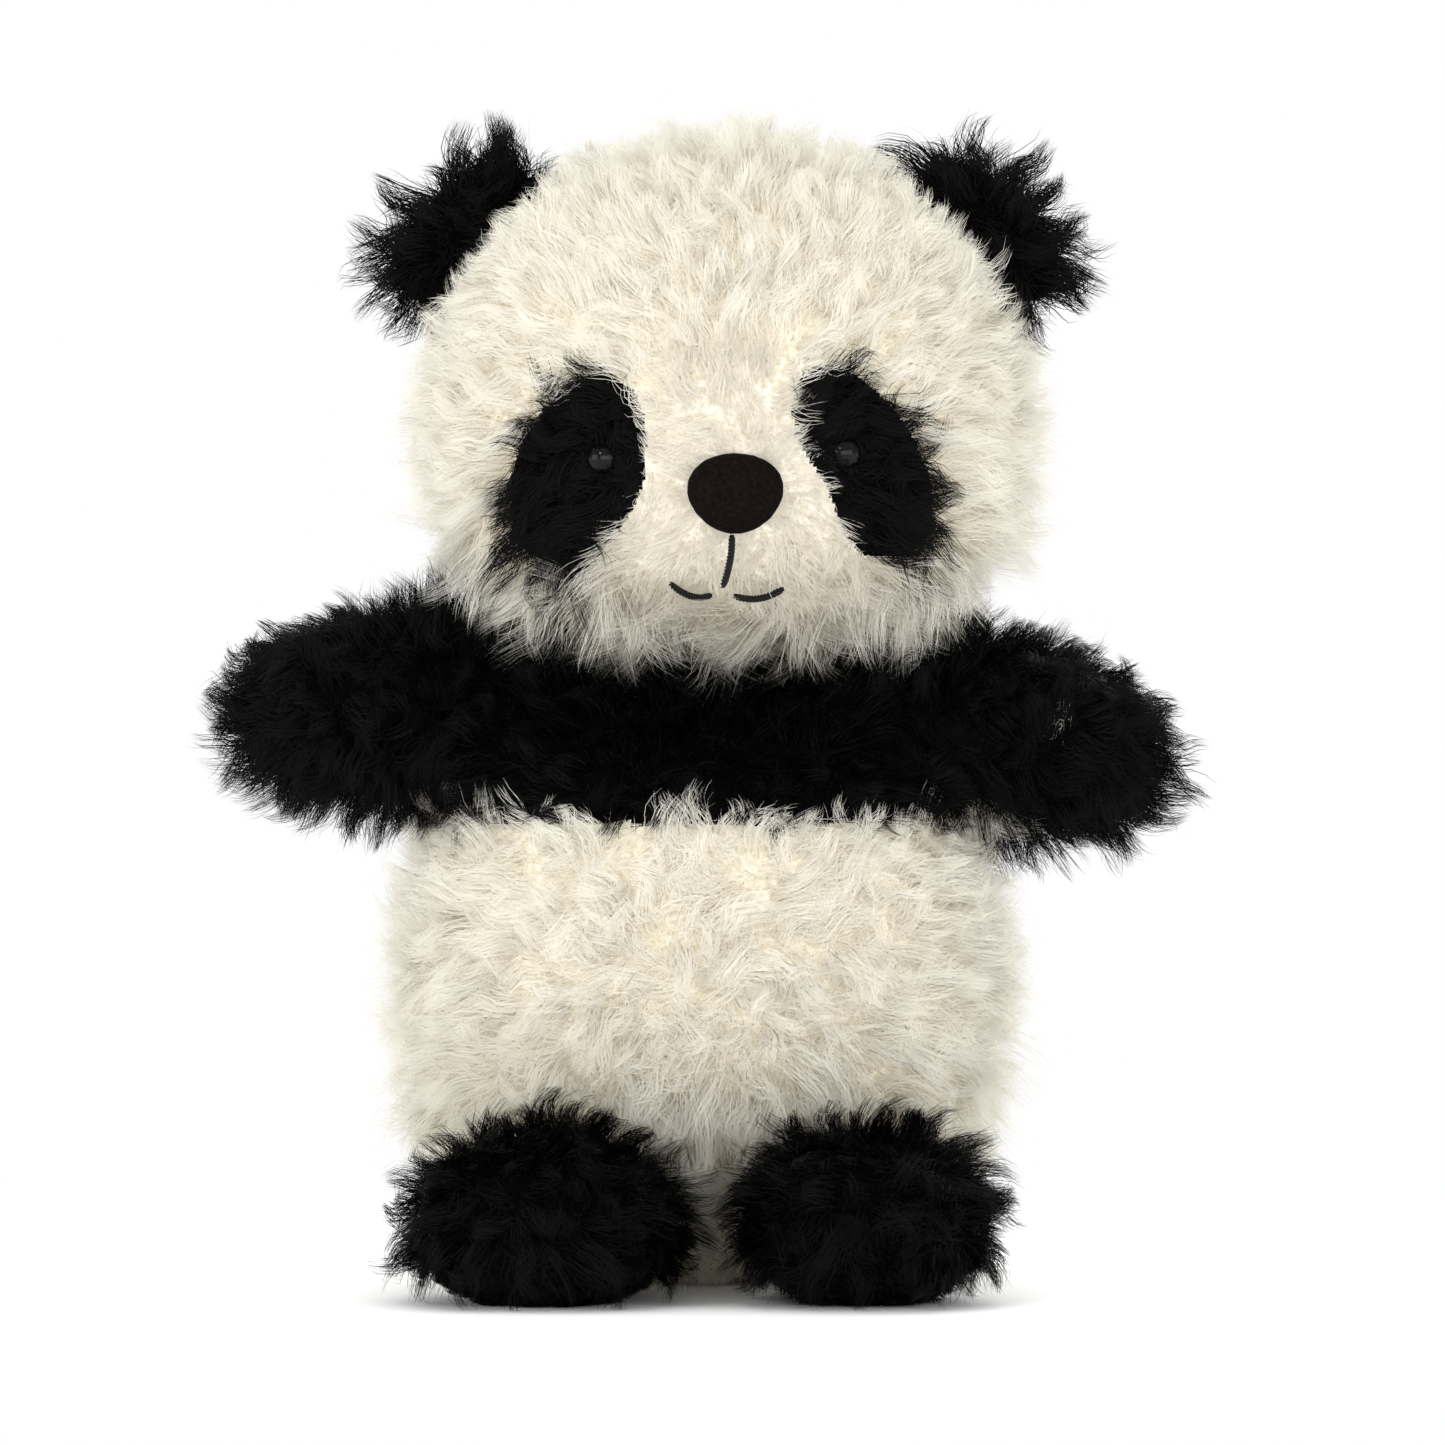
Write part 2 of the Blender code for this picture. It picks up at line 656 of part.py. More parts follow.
def make_tail():
    mesh = cage(TAIL_HALF, 2.2, 1, None, Vector((0.0, TAIL_HALF.y * 0.55, 0.0)))
    above = side_of("above_tail_seam", 2, TAIL_PIVOT.z, True)
    below = side_of("below_tail_seam", 2, TAIL_PIVOT.z, False)
    cream = (CREAM, 0.85)
    thick = PILE * 0.8
    panel("tail_upper", mesh, cream, (above,), (), thick, pivot=TAIL_PIVOT)
    panel("tail_lower", mesh, cream, (below,), (), thick, pivot=TAIL_PIVOT)
    filling("tail_stuffing", mesh, thick + LOOSE / 2.0, pivot=TAIL_PIVOT)


def main():
    neck_centre = Vector((HEAD_CENTRE.x, 0.0, HEAD_CENTRE.z - HEAD_HALF.z))
    neck = rod("neck_opening", NECK_OPENING_R, 20.0 * MM, neck_centre, (0.0, 0.0, 1.0))
    body = make_body(neck)
    make_head(neck)
    make_neck_ring(neck_centre, body)
    for side in ("left", "right"):
        make_ear(side)
        make_arm(side)
        make_foot(side)
    make_tail()
    for obj in bpy.data.objects:
        obj.location += CENTRING


main()
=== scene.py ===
"""The looks of a small plush panda: padded fabric skins, fur in locks, felt nose, thread
mouth and glossy bead eyes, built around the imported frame.  Metres, +Z up, face along -Y."""

import json
import math

import bmesh
import bpy
import numpy as np
from mathutils import Matrix, Vector, noise
from mathutils.bvhtree import BVHTree
from mathutils.kdtree import KDTree


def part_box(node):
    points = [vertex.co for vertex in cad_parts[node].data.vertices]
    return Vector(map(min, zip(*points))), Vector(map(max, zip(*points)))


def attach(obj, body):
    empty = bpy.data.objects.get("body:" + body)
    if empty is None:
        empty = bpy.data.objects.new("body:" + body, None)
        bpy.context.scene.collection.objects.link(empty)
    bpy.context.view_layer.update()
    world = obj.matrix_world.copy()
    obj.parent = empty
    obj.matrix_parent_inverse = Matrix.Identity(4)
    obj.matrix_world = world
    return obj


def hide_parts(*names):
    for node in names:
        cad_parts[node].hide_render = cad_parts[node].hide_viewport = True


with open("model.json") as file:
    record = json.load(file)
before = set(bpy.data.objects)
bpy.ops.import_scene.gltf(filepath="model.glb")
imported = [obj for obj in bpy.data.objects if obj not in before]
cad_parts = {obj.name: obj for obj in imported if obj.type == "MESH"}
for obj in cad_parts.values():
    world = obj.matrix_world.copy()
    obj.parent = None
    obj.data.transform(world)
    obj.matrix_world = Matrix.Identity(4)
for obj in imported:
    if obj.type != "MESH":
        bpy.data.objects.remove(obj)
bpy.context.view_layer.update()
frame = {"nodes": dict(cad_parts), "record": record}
noise.seed_set(7)  # Blender's vector noise would else start from the clock

MM = 0.001
NODES = frame["nodes"]
SIDES = {"left": 1.0, "right": -1.0}

BACKING_DEPTH = 1.2 * MM  # of the backing under the dense pile that the CAD solids hold
SEAM_DEPTH = 0.6 * MM
SWELL_CAP = 0.8 * MM  # most that the air pressure may move the fabric
SWELL_FRAMES = 14
DIP = 0.7 * MM  # a point this far under its neighbours fell through a gap
EAR_INSET = 0.2 * MM
EAR_BROADEN = 1.28
EAR_SINK = 4.0 * MM  # how far an ear sits deeper in the head's fur than its CAD panels
ARM_ROOT_R = 13.5 * MM  # balls of stuffing that round off the shoulders
COLLAR_R = 15.0 * MM
HOLE_REACH = 5.0 * MM  # how far the hollow at an eye's shank hole is closed
HOLE_RIM = 11.0 * MM  # how far the fabric round it tells the shape of the dome

FLOOR_CLEARANCE = 0.12 * MM
SOLE_HEIGHT = 0.4 * MM  # of the backing over the floor where the toy stands on it
BAKE_UV = "OFBake"

STRANDS_PER_MM2 = 3.4
UNDER_PER_MM2 = 1.8
MAX_TRIANGLES = 185_000  # in one piece of fur, so that it exports whole
LOCK_STEPS = 6
UNDER_STEPS = 4
SOFTNESS = {"cream_fur": 0.92, "white_muzzle_fur": 0.92, "black_fur": 0.35}
BACKING_OF = {
    "cream_fur": "cream_backing",
    "white_muzzle_fur": "white_backing",
    "black_fur": "black_backing",
}
SLOT_OF = {part["node"]: part["material_slot"] for part in frame["record"]["subparts"]}
PANEL_LOOK = {
    node: BACKING_OF[slot_name] for node, slot_name in SLOT_OF.items() if slot_name in BACKING_OF
}

BEAD_R = 2.6 * MM
BEAD_DOME = 2.3 * MM
BEAD_RISE = 1.1 * MM  # of the bead's widest ring over its CAD middle
THREAD_RISE = 0.75 * MM  # the stitches lie on top of the short muzzle pile
THREAD_R = 0.52 * MM

WORLD_LIGHT = 1.02
FLOOR_LIGHT = 1.9
LAMPS = (  # name, place, width of the square, power
    ("key", (-0.50, -1.0, 0.80), 0.2, 2.5),
    ("fill", (0.80, -1.0, 0.14), 0.8, 5.5),
    ("side", (-1.1, -0.65, 0.12), 0.8, 7.0),
    ("low", (0.0, -1.15, 0.02), 0.9, 9.0),
    ("top", (0.0, 0.15, 1.1), 0.8, 3.5),
    ("back", (0.35, 1.1, 0.7), 0.9, 5.0),
)
LAMP_AIM = (0.0, 0.0, 0.09)
CAMERA_DISTANCE = 2.1
CAMERA_ELEVATION = 1.5  # degrees
SENSOR_WIDTH = 36.0
VIEW_WIDTH = 0.224  # of the picture at the toy
VIEW_MIDDLE_X = 0.0035
VIEW_MIDDLE_Z = 0.0873


def linear(red, green, blue):
    """A display colour from 0 to 255 as linear light."""
    channels = []
    for value in (red, green, blue):
        share = value / 255.0
        if share <= 0.04045:
            channels.append(share / 12.92)
        else:
            channels.append(((share + 0.055) / 1.055) ** 2.4)
    return (*channels, 1.0)


# ---------------------------------------------------------------- materials


def new_material(name, roughness, shine=None):
    mat = bpy.data.materials.new(name)
    mat.use_nodes = True
    shader = mat.node_tree.nodes["Principled BSDF"]
    shader.inputs["Roughness"].default_value = roughness
    if shine is not None:
        shader.inputs["Specular IOR Level"].default_value = shine
    return mat, mat.node_tree, shader


def add_node(tree, kind, **settings):
    node = tree.nodes.new(kind)
    for key, value in settings.items():
        setattr(node, key, value)
    return node


def ramp(tree, stops):
    node = add_node(tree, "ShaderNodeValToRGB")
    elements = node.color_ramp.elements
    while len(elements) < len(stops):
        elements.new(0.5)
    for element, (place, colour) in zip(elements, stops):
        element.position = place
        element.color = colour
    return node


def fur_material(name, stops, spread, roughness, shine, glow=0.0):
    """Fur: colour runs from root to tip along v, and each strand has its own tone by u.

    glow is the share of light that passes through a strand and comes out on its far side.
    """
    mat, tree, shader = new_material(name, roughness, shine)
    uv = add_node(tree, "ShaderNodeUVMap", uv_map=BAKE_UV)
    split = add_node(tree, "ShaderNodeSeparateXYZ")
    along = ramp(tree, stops)
    tone = add_node(tree, "ShaderNodeTexNoise", noise_dimensions="1D")
    tone.inputs["Scale"].default_value = 160.0
    tone.inputs["Detail"].default_value = 2.0
    level = add_node(tree, "ShaderNodeMapRange")
    level.inputs["From Min"].default_value = 0.3
    level.inputs["From Max"].default_value = 0.7
    level.inputs["To Min"].default_value = 1.0 - spread
    level.inputs["To Max"].default_value = 1.0 + spread * 0.4
    mix = add_node(tree, "ShaderNodeVectorMath", operation="SCALE")
    links = tree.links
    links.new(uv.outputs["UV"], split.inputs[0])
    links.new(split.outputs["Y"], along.inputs["Fac"])
    links.new(split.outputs["X"], tone.inputs["W"])
    links.new(tone.outputs["Fac"], level.inputs["Value"])
    links.new(along.outputs["Color"], mix.inputs[0])
    links.new(level.outputs["Result"], mix.inputs["Scale"])
    links.new(mix.outputs["Vector"], shader.inputs["Base Color"])
    if glow:
        through = add_node(tree, "ShaderNodeBsdfTranslucent")
        blend = add_node(tree, "ShaderNodeMixShader")
        blend.inputs["Fac"].default_value = glow
        links.new(mix.outputs["Vector"], through.inputs["Color"])
        links.new(shader.outputs["BSDF"], blend.inputs[1])
        links.new(through.outputs["BSDF"], blend.inputs[2])
        links.new(blend.outputs["Shader"], tree.nodes["Material Output"].inputs["Surface"])
    return mat


def tinted_material(name, dark, light, grain, roughness, shine=None):
    """A hard or twisted surface whose colour drifts a little between two tones."""
    mat, tree, shader = new_material(name, roughness, shine)
    place = add_node(tree, "ShaderNodeTexCoord")
    cloud = add_node(tree, "ShaderNodeTexNoise")
    cloud.inputs["Scale"].default_value = grain
    tint = ramp(tree, [(0.3, dark), (0.7, light)])
    tree.links.new(place.outputs["Object"], cloud.inputs["Vector"])
    tree.links.new(cloud.outputs["Fac"], tint.inputs["Fac"])
    tree.links.new(tint.outputs["Color"], shader.inputs["Base Color"])
    return mat


def backing_material(name, dark, light, grain=900.0):
    """The fabric under the pile: mottled knit with a fine fibrous bump."""
    mat, tree, shader = new_material(name, 0.95, 0.04)
    place = add_node(tree, "ShaderNodeTexCoord")
    mottle = add_node(tree, "ShaderNodeTexNoise")
    mottle.inputs["Scale"].default_value = grain
    mottle.inputs["Detail"].default_value = 4.0
    tint = ramp(tree, [(0.35, dark), (0.65, light)])
    bump = add_node(tree, "ShaderNodeBump")
    bump.inputs["Strength"].default_value = 0.6
    bump.inputs["Distance"].default_value = 0.4 * MM
    links = tree.links
    links.new(place.outputs["Object"], mottle.inputs["Vector"])
    links.new(mottle.outputs["Fac"], tint.inputs["Fac"])
    links.new(tint.outputs["Color"], shader.inputs["Base Color"])
    links.new(mottle.outputs["Fac"], bump.inputs["Height"])
    links.new(bump.outputs["Normal"], shader.inputs["Normal"])
    return mat


def make_materials():
    cream_deep = linear(205, 195, 172)
    cream_root = linear(236, 230, 215)
    cream_mid = linear(243, 240, 230)
    cream_tip = linear(247, 245, 236)
    white_deep = linear(196, 188, 170)
    white_root = linear(222, 217, 204)
    white_mid = linear(229, 225, 214)
    white_tip = linear(234, 231, 222)
    black_root = linear(3, 2, 2)
    black_mid = linear(6, 5, 5)
    black_tip = linear(10, 9, 9)
    cream = [(0.0, cream_root), (0.35, cream_mid), (1.0, cream_tip)]
    white = [(0.0, white_root), (0.35, white_mid), (1.0, white_tip)]
    black = [(0.0, black_root), (0.5, black_mid), (1.0, black_tip)]
    return {
        "cream_fur": fur_material("cream_fur", cream, 0.04, 0.8, 0.25, 0.55),
        "white_muzzle_fur": fur_material("white_muzzle_fur", white, 0.04, 0.8, 0.2, 0.55),
        "black_fur": fur_material("black_fur", black, 0.4, 0.5, 0.05),
        "cream_backing": backing_material("cream_backing", cream_deep, cream_root),
        "white_backing": backing_material("white_backing", white_deep, white_root),
        "black_backing": backing_material("black_backing", black_root, black_root),
    }


# ---------------------------------------------------------------- padded skins


def added(name, mesh):
    """A new object in the scene that shows a mesh."""
    obj = bpy.data.objects.new(name, mesh)
    bpy.context.scene.collection.objects.link(obj)
    return obj


def smooth_mesh(name, bm):
    """The finished mesh of an edited one, which is freed, shaded smooth."""
    for face in bm.faces:
        face.smooth = True
    mesh = bpy.data.meshes.new(name)
    bm.to_mesh(mesh)
    bm.free()
    return mesh


def unit(vectors):
    return vectors / np.maximum(np.linalg.norm(vectors, axis=-1, keepdims=True), 1e-9)


def quad_ball(cuts):
    """A ball of even quads: a cube cut into a grid, then rounded."""
    bm = bmesh.new()
    bmesh.ops.create_cube(bm, size=2.0)
    bmesh.ops.subdivide_edges(bm, edges=bm.edges[:], cuts=cuts, use_grid_fill=True)
    for vert in bm.verts:
        x, y, z = (math.tan(part * math.pi / 4.0) for part in vert.co)
        vert.co = Vector((x, y, z)).normalized()
    return bm


def joined(names):
    """One search tree over several CAD nodes, with the node of each of its faces."""
    points = []
    faces = []
    owners = []
    for index, name in enumerate(names):
        mesh = NODES[name].data
        base = len(points)
        points += [vert.co.copy() for vert in mesh.vertices]
        faces += [tuple(base + i for i in poly.vertices) for poly in mesh.polygons]
        owners += [index] * len(mesh.polygons)
    return BVHTree.FromPolygons(points, faces), owners


def box_of(names):
    boxes = [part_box(name) for name in names]
    low = Vector(min(box[0][i] for box in boxes) for i in range(3))
    high = Vector(max(box[1][i] for box in boxes) for i in range(3))
    return low, high


def ball_reach(origin, way, centre, radius):
    """How far along a ray from origin the far side of a ball lies, or 0 if it misses."""
    offset = origin - centre
    half = offset.dot(way)
    inside = half * half - (offset.length_squared - radius * radius)
    return -half + math.sqrt(inside) if inside > 0.0 else 0.0


def wrap(names, cuts, inset, bulges=(), holes=(), relax=3):
    """A closed quad skin that follows the outside of CAD nodes, moved inwards by inset.

    bulges are balls, as (centre, radius), that the skin also goes round, and holes are the
    middles of holes that it closes.
    """
    tree, owners = joined(names)
    low, high = box_of(names)
    centre = (low + high) / 2.0
    half = (high - low) / 2.0
    bm = quad_ball(cuts)
    reach = max(half) * 3.0
    for vert in bm.verts:
        way = Vector(vert.co[i] * half[i] for i in range(3)).normalized()
        hit = tree.ray_cast(centre + way * reach, -way)[0]
        outside = hit and (hit - centre).dot(way) > 0.0
        vert.co = hit if outside else centre + way * min(half) * 0.8
    fill_gaps(bm, centre)
    for spot in holes:
        heal(bm, spot, centre)
    for vert in bm.verts:
        way = (vert.co - centre).normalized()
        for core, radius in bulges:
            beyond = ball_reach(centre, way, core, radius)
            if beyond > (vert.co - centre).length:
                vert.co = centre + way * beyond
    for _ in range(relax):
        bmesh.ops.smooth_vert(
            bm, verts=bm.verts, factor=0.5, use_axis_x=True, use_axis_y=True, use_axis_z=True
        )
    bm.normal_update()
    moved = [vert.co - vert.normal * inset for vert in bm.verts]
    for vert, point in zip(bm.verts, moved):
        vert.co = point
    return bm, tree, owners


def heal(bm, spot, centre):
    """Closes the hollow round a hole in the fabric with the dome that its rim describes."""
    spot = np.array(spot)
    normal = unit(spot - np.array(centre))
    side = unit(np.cross(normal, (0.0, 0.0, 1.0)))
    axes = np.stack([side, np.cross(side, normal), normal])
    local = (np.array([vert.co[:] for vert in bm.verts]) - spot) @ axes.T
    away = np.hypot(local[:, 0], local[:, 1])
    outside = local[:, 2] > -20.0 * MM
    rim = local[(away > HOLE_REACH) & (away < HOLE_RIM) & outside]

    def terms(u, v):
        return np.stack([np.ones(len(u)), u, v, u * u, u * v, v * v], axis=1)

    dome = np.linalg.lstsq(terms(rim[:, 0], rim[:, 1]), rim[:, 2], rcond=None)[0]
    height = terms(local[:, 0], local[:, 1]) @ dome
    for vert, place, distance, level, near in zip(bm.verts, local, away, height, outside):
        if near and distance < HOLE_REACH:
            vert.co = Vector(spot + axes.T @ np.array([place[0], place[1], level]))


def fill_gaps(bm, centre, rounds=10):
    """Where rays fell through a hole or seam, takes the height of the fabric beside it."""
    for _ in range(rounds):
        heights = {vert: (vert.co - centre).length for vert in bm.verts}
        for vert in bm.verts:
            around = sorted(heights[edge.other_vert(vert)] for edge in vert.link_edges)
            usual = around[len(around) // 2]
            if heights[vert] < usual - DIP:
                vert.co = centre + (vert.co - centre) * (usual / heights[vert])


def swell(obj, seams):
    """Cloth simulation: air pressure fills the fabric out between its pinned seams."""
    group = obj.vertex_groups.new(name="seams")
    if seams:
        group.add(seams, 1.0, "REPLACE")
    start = np.array([vert.co[:] for vert in obj.data.vertices])
    mod = obj.modifiers.new("cloth", "CLOTH")
    cloth = mod.settings
    cloth.quality = 4
    cloth.mass = 0.05
    cloth.tension_stiffness = 12.0
    cloth.compression_stiffness = 12.0
    cloth.bending_stiffness = 0.4
    cloth.use_pressure = True
    cloth.uniform_pressure_force = 4.0
    cloth.effector_weights.gravity = 0.0
    cloth.vertex_group_mass = group.name
    scene = bpy.context.scene
    for step in range(1, SWELL_FRAMES + 1):
        scene.frame_set(step)
    graph = bpy.context.evaluated_depsgraph_get()
    swollen = obj.evaluated_get(graph).to_mesh()
    end = np.array([vert.co[:] for vert in swollen.vertices])
    obj.evaluated_get(graph).to_mesh_clear()
    obj.modifiers.remove(mod)
    scene.frame_set(1)
    shift = end - start
    length = np.linalg.norm(shift, axis=1, keepdims=True)
    shift *= np.minimum(1.0, SWELL_CAP / np.maximum(length, 1e-9))
    obj.data.vertices.foreach_set("co", (start + shift).astype(np.float32).ravel())
    obj.data.update()


def skin(
    name, body, panels, replaced, materials, looks, cuts=22, inset=BACKING_DEPTH,
    bulges=(), holes=(), cut_of=None, smooth=1,
):
    """A stuffed skin in the panels' colours, with its seams pulled in.

    cut_of says where to look up the panel of a place, where a seam runs off its CAD edge.
    """
    look_up = cut_of or same
    bm, tree, owners = wrap(panels, cuts, inset, bulges, holes)
    seams = []
    bm.verts.index_update()
    owner_of = {}
    for vert in bm.verts:
        place = look_up(np.array([vert.co + vert.normal * inset]))[0]
        owner_of[vert.index] = owners[tree.find_nearest(Vector(place))[2]]
    for vert in bm.verts:
        near = {owner_of[edge.other_vert(vert).index] for edge in vert.link_edges}
        if near != {owner_of[vert.index]} or len(near) > 1:
            seams.append(vert.index)
    sunk = set(seams)
    for vert in bm.verts:
        if vert.index in sunk:
            vert.co -= vert.normal * SEAM_DEPTH
    mesh = smooth_mesh(name, bm)
    slots = sorted({looks[panel] for panel in panels})
    for slot_name in slots:
        mesh.materials.append(materials[slot_name])
    obj = added(name, mesh)
    swell(obj, seams)
    mod = obj.modifiers.new("smooth", "SUBSURF")
    mod.levels = smooth
    mod.render_levels = smooth
    flatten(obj)
    for vert in obj.data.vertices:
        vert.co.z = max(vert.co.z, SOLE_HEIGHT)
    faces = obj.data.polygons
    places = look_up(np.array([face.center + face.normal * inset for face in faces]))
    for face, owner in zip(faces, owners_of(places, tree, owners)):
        face.material_index = slots.index(looks[panels[owner]])
    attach(obj, body)
    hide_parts(*panels, *replaced)
    return obj, tree, owners


def same(points):
    return points


def flatten(obj):
    """Applies the modifiers of an object to its mesh."""
    graph = bpy.context.evaluated_depsgraph_get()
    mesh = bpy.data.meshes.new_from_object(obj.evaluated_get(graph))
    obj.modifiers.clear()
    obj.data = mesh


# ---------------------------------------------------------------- fur


def scatter(obj, per_mm2, rng):
    """Random points over a skin, with its smooth normals there."""
    mesh = obj.data
    mesh.calc_loop_triangles()
    count = len(mesh.loop_triangles)
    corners = np.empty(count * 3, np.int32)
    mesh.loop_triangles.foreach_get("vertices", corners)
    corners = corners.reshape(-1, 3)
    points = np.empty(len(mesh.vertices) * 3, np.float32)
    mesh.vertices.foreach_get("co", points)
    points = points.reshape(-1, 3).astype(float)
    normals = np.empty(len(mesh.vertices) * 3, np.float32)
    mesh.vertices.foreach_get("normal", normals)
    normals = normals.reshape(-1, 3).astype(float)
    tri = points[corners]
    area = np.linalg.norm(np.cross(tri[:, 1] - tri[:, 0], tri[:, 2] - tri[:, 0]), axis=1) / 2.0
    total = int(area.sum() * 1e6 * per_mm2)
    picked = np.searchsorted(np.cumsum(area) / area.sum(), rng.random(total))
    picked = np.minimum(picked, count - 1)
    side = np.sqrt(rng.random(total))
    other = rng.random(total)
    share = np.stack([1.0 - side, side * (1.0 - other), side * other], axis=1)[:, :, None]
    where = (tri[picked] * share).sum(axis=1)
    facing = unit((normals[corners[picked]] * share).sum(axis=1))
    return where, facing


def owners_of(points, tree, owners):
    return np.array([owners[tree.find_nearest(Vector(point))[2]] for point in points])


def swirl(points, scale, seed):
    """Smooth vector noise, so that neighbouring locks lean alike."""
    offset = Vector((seed * 3.1, seed * 1.7, seed * 5.3))
    return np.array([noise.noise_vector(Vector(point) * scale + offset)[:] for point in points])


class Coat:
    """What one area of fur is like."""

    def __init__(
        self, length, lift, curl=0.9, clump=0.75, locks=0.08, width=0.075, messy=0.8, under=0.4
    ):
        self.length = length * MM  # of a lock
        self.lift = lift  # angle of a lock over the skin, in degrees
        self.curl = curl * MM  # how far a lock waves to the side
        self.clump = clump  # how closely strands gather at a lock's tip
        self.locks = locks  # locks for each square millimetre
        self.width = width * MM  # half width of a strand at its root
        self.messy = messy  # how far locks stray from the combed direction
        self.under = under  # length of the undercoat as a share of a lock's


def along_skin(direction, normals):
    """Directions laid flat on the skin."""
    return unit(direction - normals * (direction * normals).sum(1, keepdims=True))


def lines(roots, normals, comb, lift, length, wave, phase, turns, steps):
    """Curves that rise from the skin, lean over along the combed direction and curl."""
    across = unit(np.cross(normals, comb))
    path = [roots]
    for step in range(1, steps):
        share = (step - 0.5) / (steps - 1)
        angle = lift * (1.35 - 0.8 * share)
        heading = normals * np.sin(angle)[:, None] + comb * np.cos(angle)[:, None]
        path.append(path[-1] + heading * (length / (steps - 1))[:, None])
    path = np.stack(path, axis=1)
    for step in range(1, steps):
        share = step / (steps - 1)
        angle = phase + turns * share * 2.0 * math.pi
        sway = np.sin(angle) - np.sin(phase)
        rise = np.cos(angle) - np.cos(phase)
        path[:, step] += across * (wave * share * sway)[:, None]
        path[:, step] += normals * (wave * share * rise * 0.6)[:, None]
    return path


def grow(roots, normals, comb, coat, rng, scale, stand, seed):
    """Strands gathered into curly locks.

    comb, scale and stand, in degrees added to the lift, hold a value for each root.
    """
    total = len(roots)
    steps = LOCK_STEPS
    area_share = coat.locks / STRANDS_PER_MM2
    count = min(total, max(8, int(total * area_share)))
    centres = rng.choice(total, size=count, replace=False)
    tree = KDTree(count)
    for index, root in enumerate(roots[centres]):
        tree.insert(root, index)
    tree.balance()
    lock_of = np.array([tree.find(root)[1] for root in roots])
    normal = normals[centres]
    stray = swirl(roots[centres], 120.0, seed) * 1.5 + swirl(roots[centres], 420.0, seed + 9)
    stray += rng.normal(0.0, 0.4, (count, 3))
    lean = along_skin(unit(comb[centres]) + stray * coat.messy, normal)
    lift = coat.lift * (1.0 + rng.normal(0.0, 0.22, count)) + stand[centres]
    lift = np.radians(lift).clip(0.12, 1.5)
    long = coat.length * scale[centres] * rng.uniform(0.75, 1.2, count)
    wave = coat.curl * rng.uniform(0.5, 1.4, count) * scale[centres].clip(0.3, 1.0)
    phase = rng.uniform(0.0, 2.0 * math.pi, count)
    turns = rng.uniform(0.5, 1.25, count) * rng.choice([-1.0, 1.0], count)
    guide = lines(roots[centres], normal, lean, lift, long, wave, phase, turns, steps)
    own_lean = along_skin(lean[lock_of] + rng.normal(0.0, 0.3, (total, 3)), normals)
    own_lift = (lift[lock_of] * (1.0 + rng.normal(0.0, 0.2, total))).clip(0.08, 1.52)
    own_long = coat.length * scale * (long / (coat.length * scale[centres]))[lock_of]
    own_long *= rng.uniform(0.65, 1.08, total)
    own_wave = wave[lock_of] * rng.uniform(0.6, 1.4, total)
    own_phase = phase[lock_of] + rng.normal(0.0, 0.45, total)
    own = lines(
        roots, normals, own_lean, own_lift, own_long, own_wave, own_phase, turns[lock_of], steps
    )
    pull = coat.clump * rng.uniform(0.5, 1.08, total)
    pull[rng.random(total) < 0.10] *= 0.25
    for step in range(1, steps):
        share = step / (steps - 1)
        weight = (pull * share).clip(0.0, 1.0)[:, None]
        own[:, step] = own[:, step] * (1.0 - weight) + guide[lock_of, step] * weight
    return own


def undercoat(roots, normals, comb, coat, rng, scale):
    """Short loose strands that close the view to the backing."""
    total = len(roots)
    lean = along_skin(unit(comb) + rng.normal(0.0, 0.9, (total, 3)), normals)
    lift = np.radians(rng.uniform(35.0, 80.0, total))
    long = coat.length * coat.under * scale.clip(0.3, 1.0) * rng.uniform(0.6, 1.3, total)
    wave = np.full(total, coat.curl * 0.4)
    phase = rng.uniform(0.0, 2.0 * math.pi, total)
    return lines(roots, normals, lean, lift, long, wave, phase, np.full(total, 0.6), UNDER_STEPS)


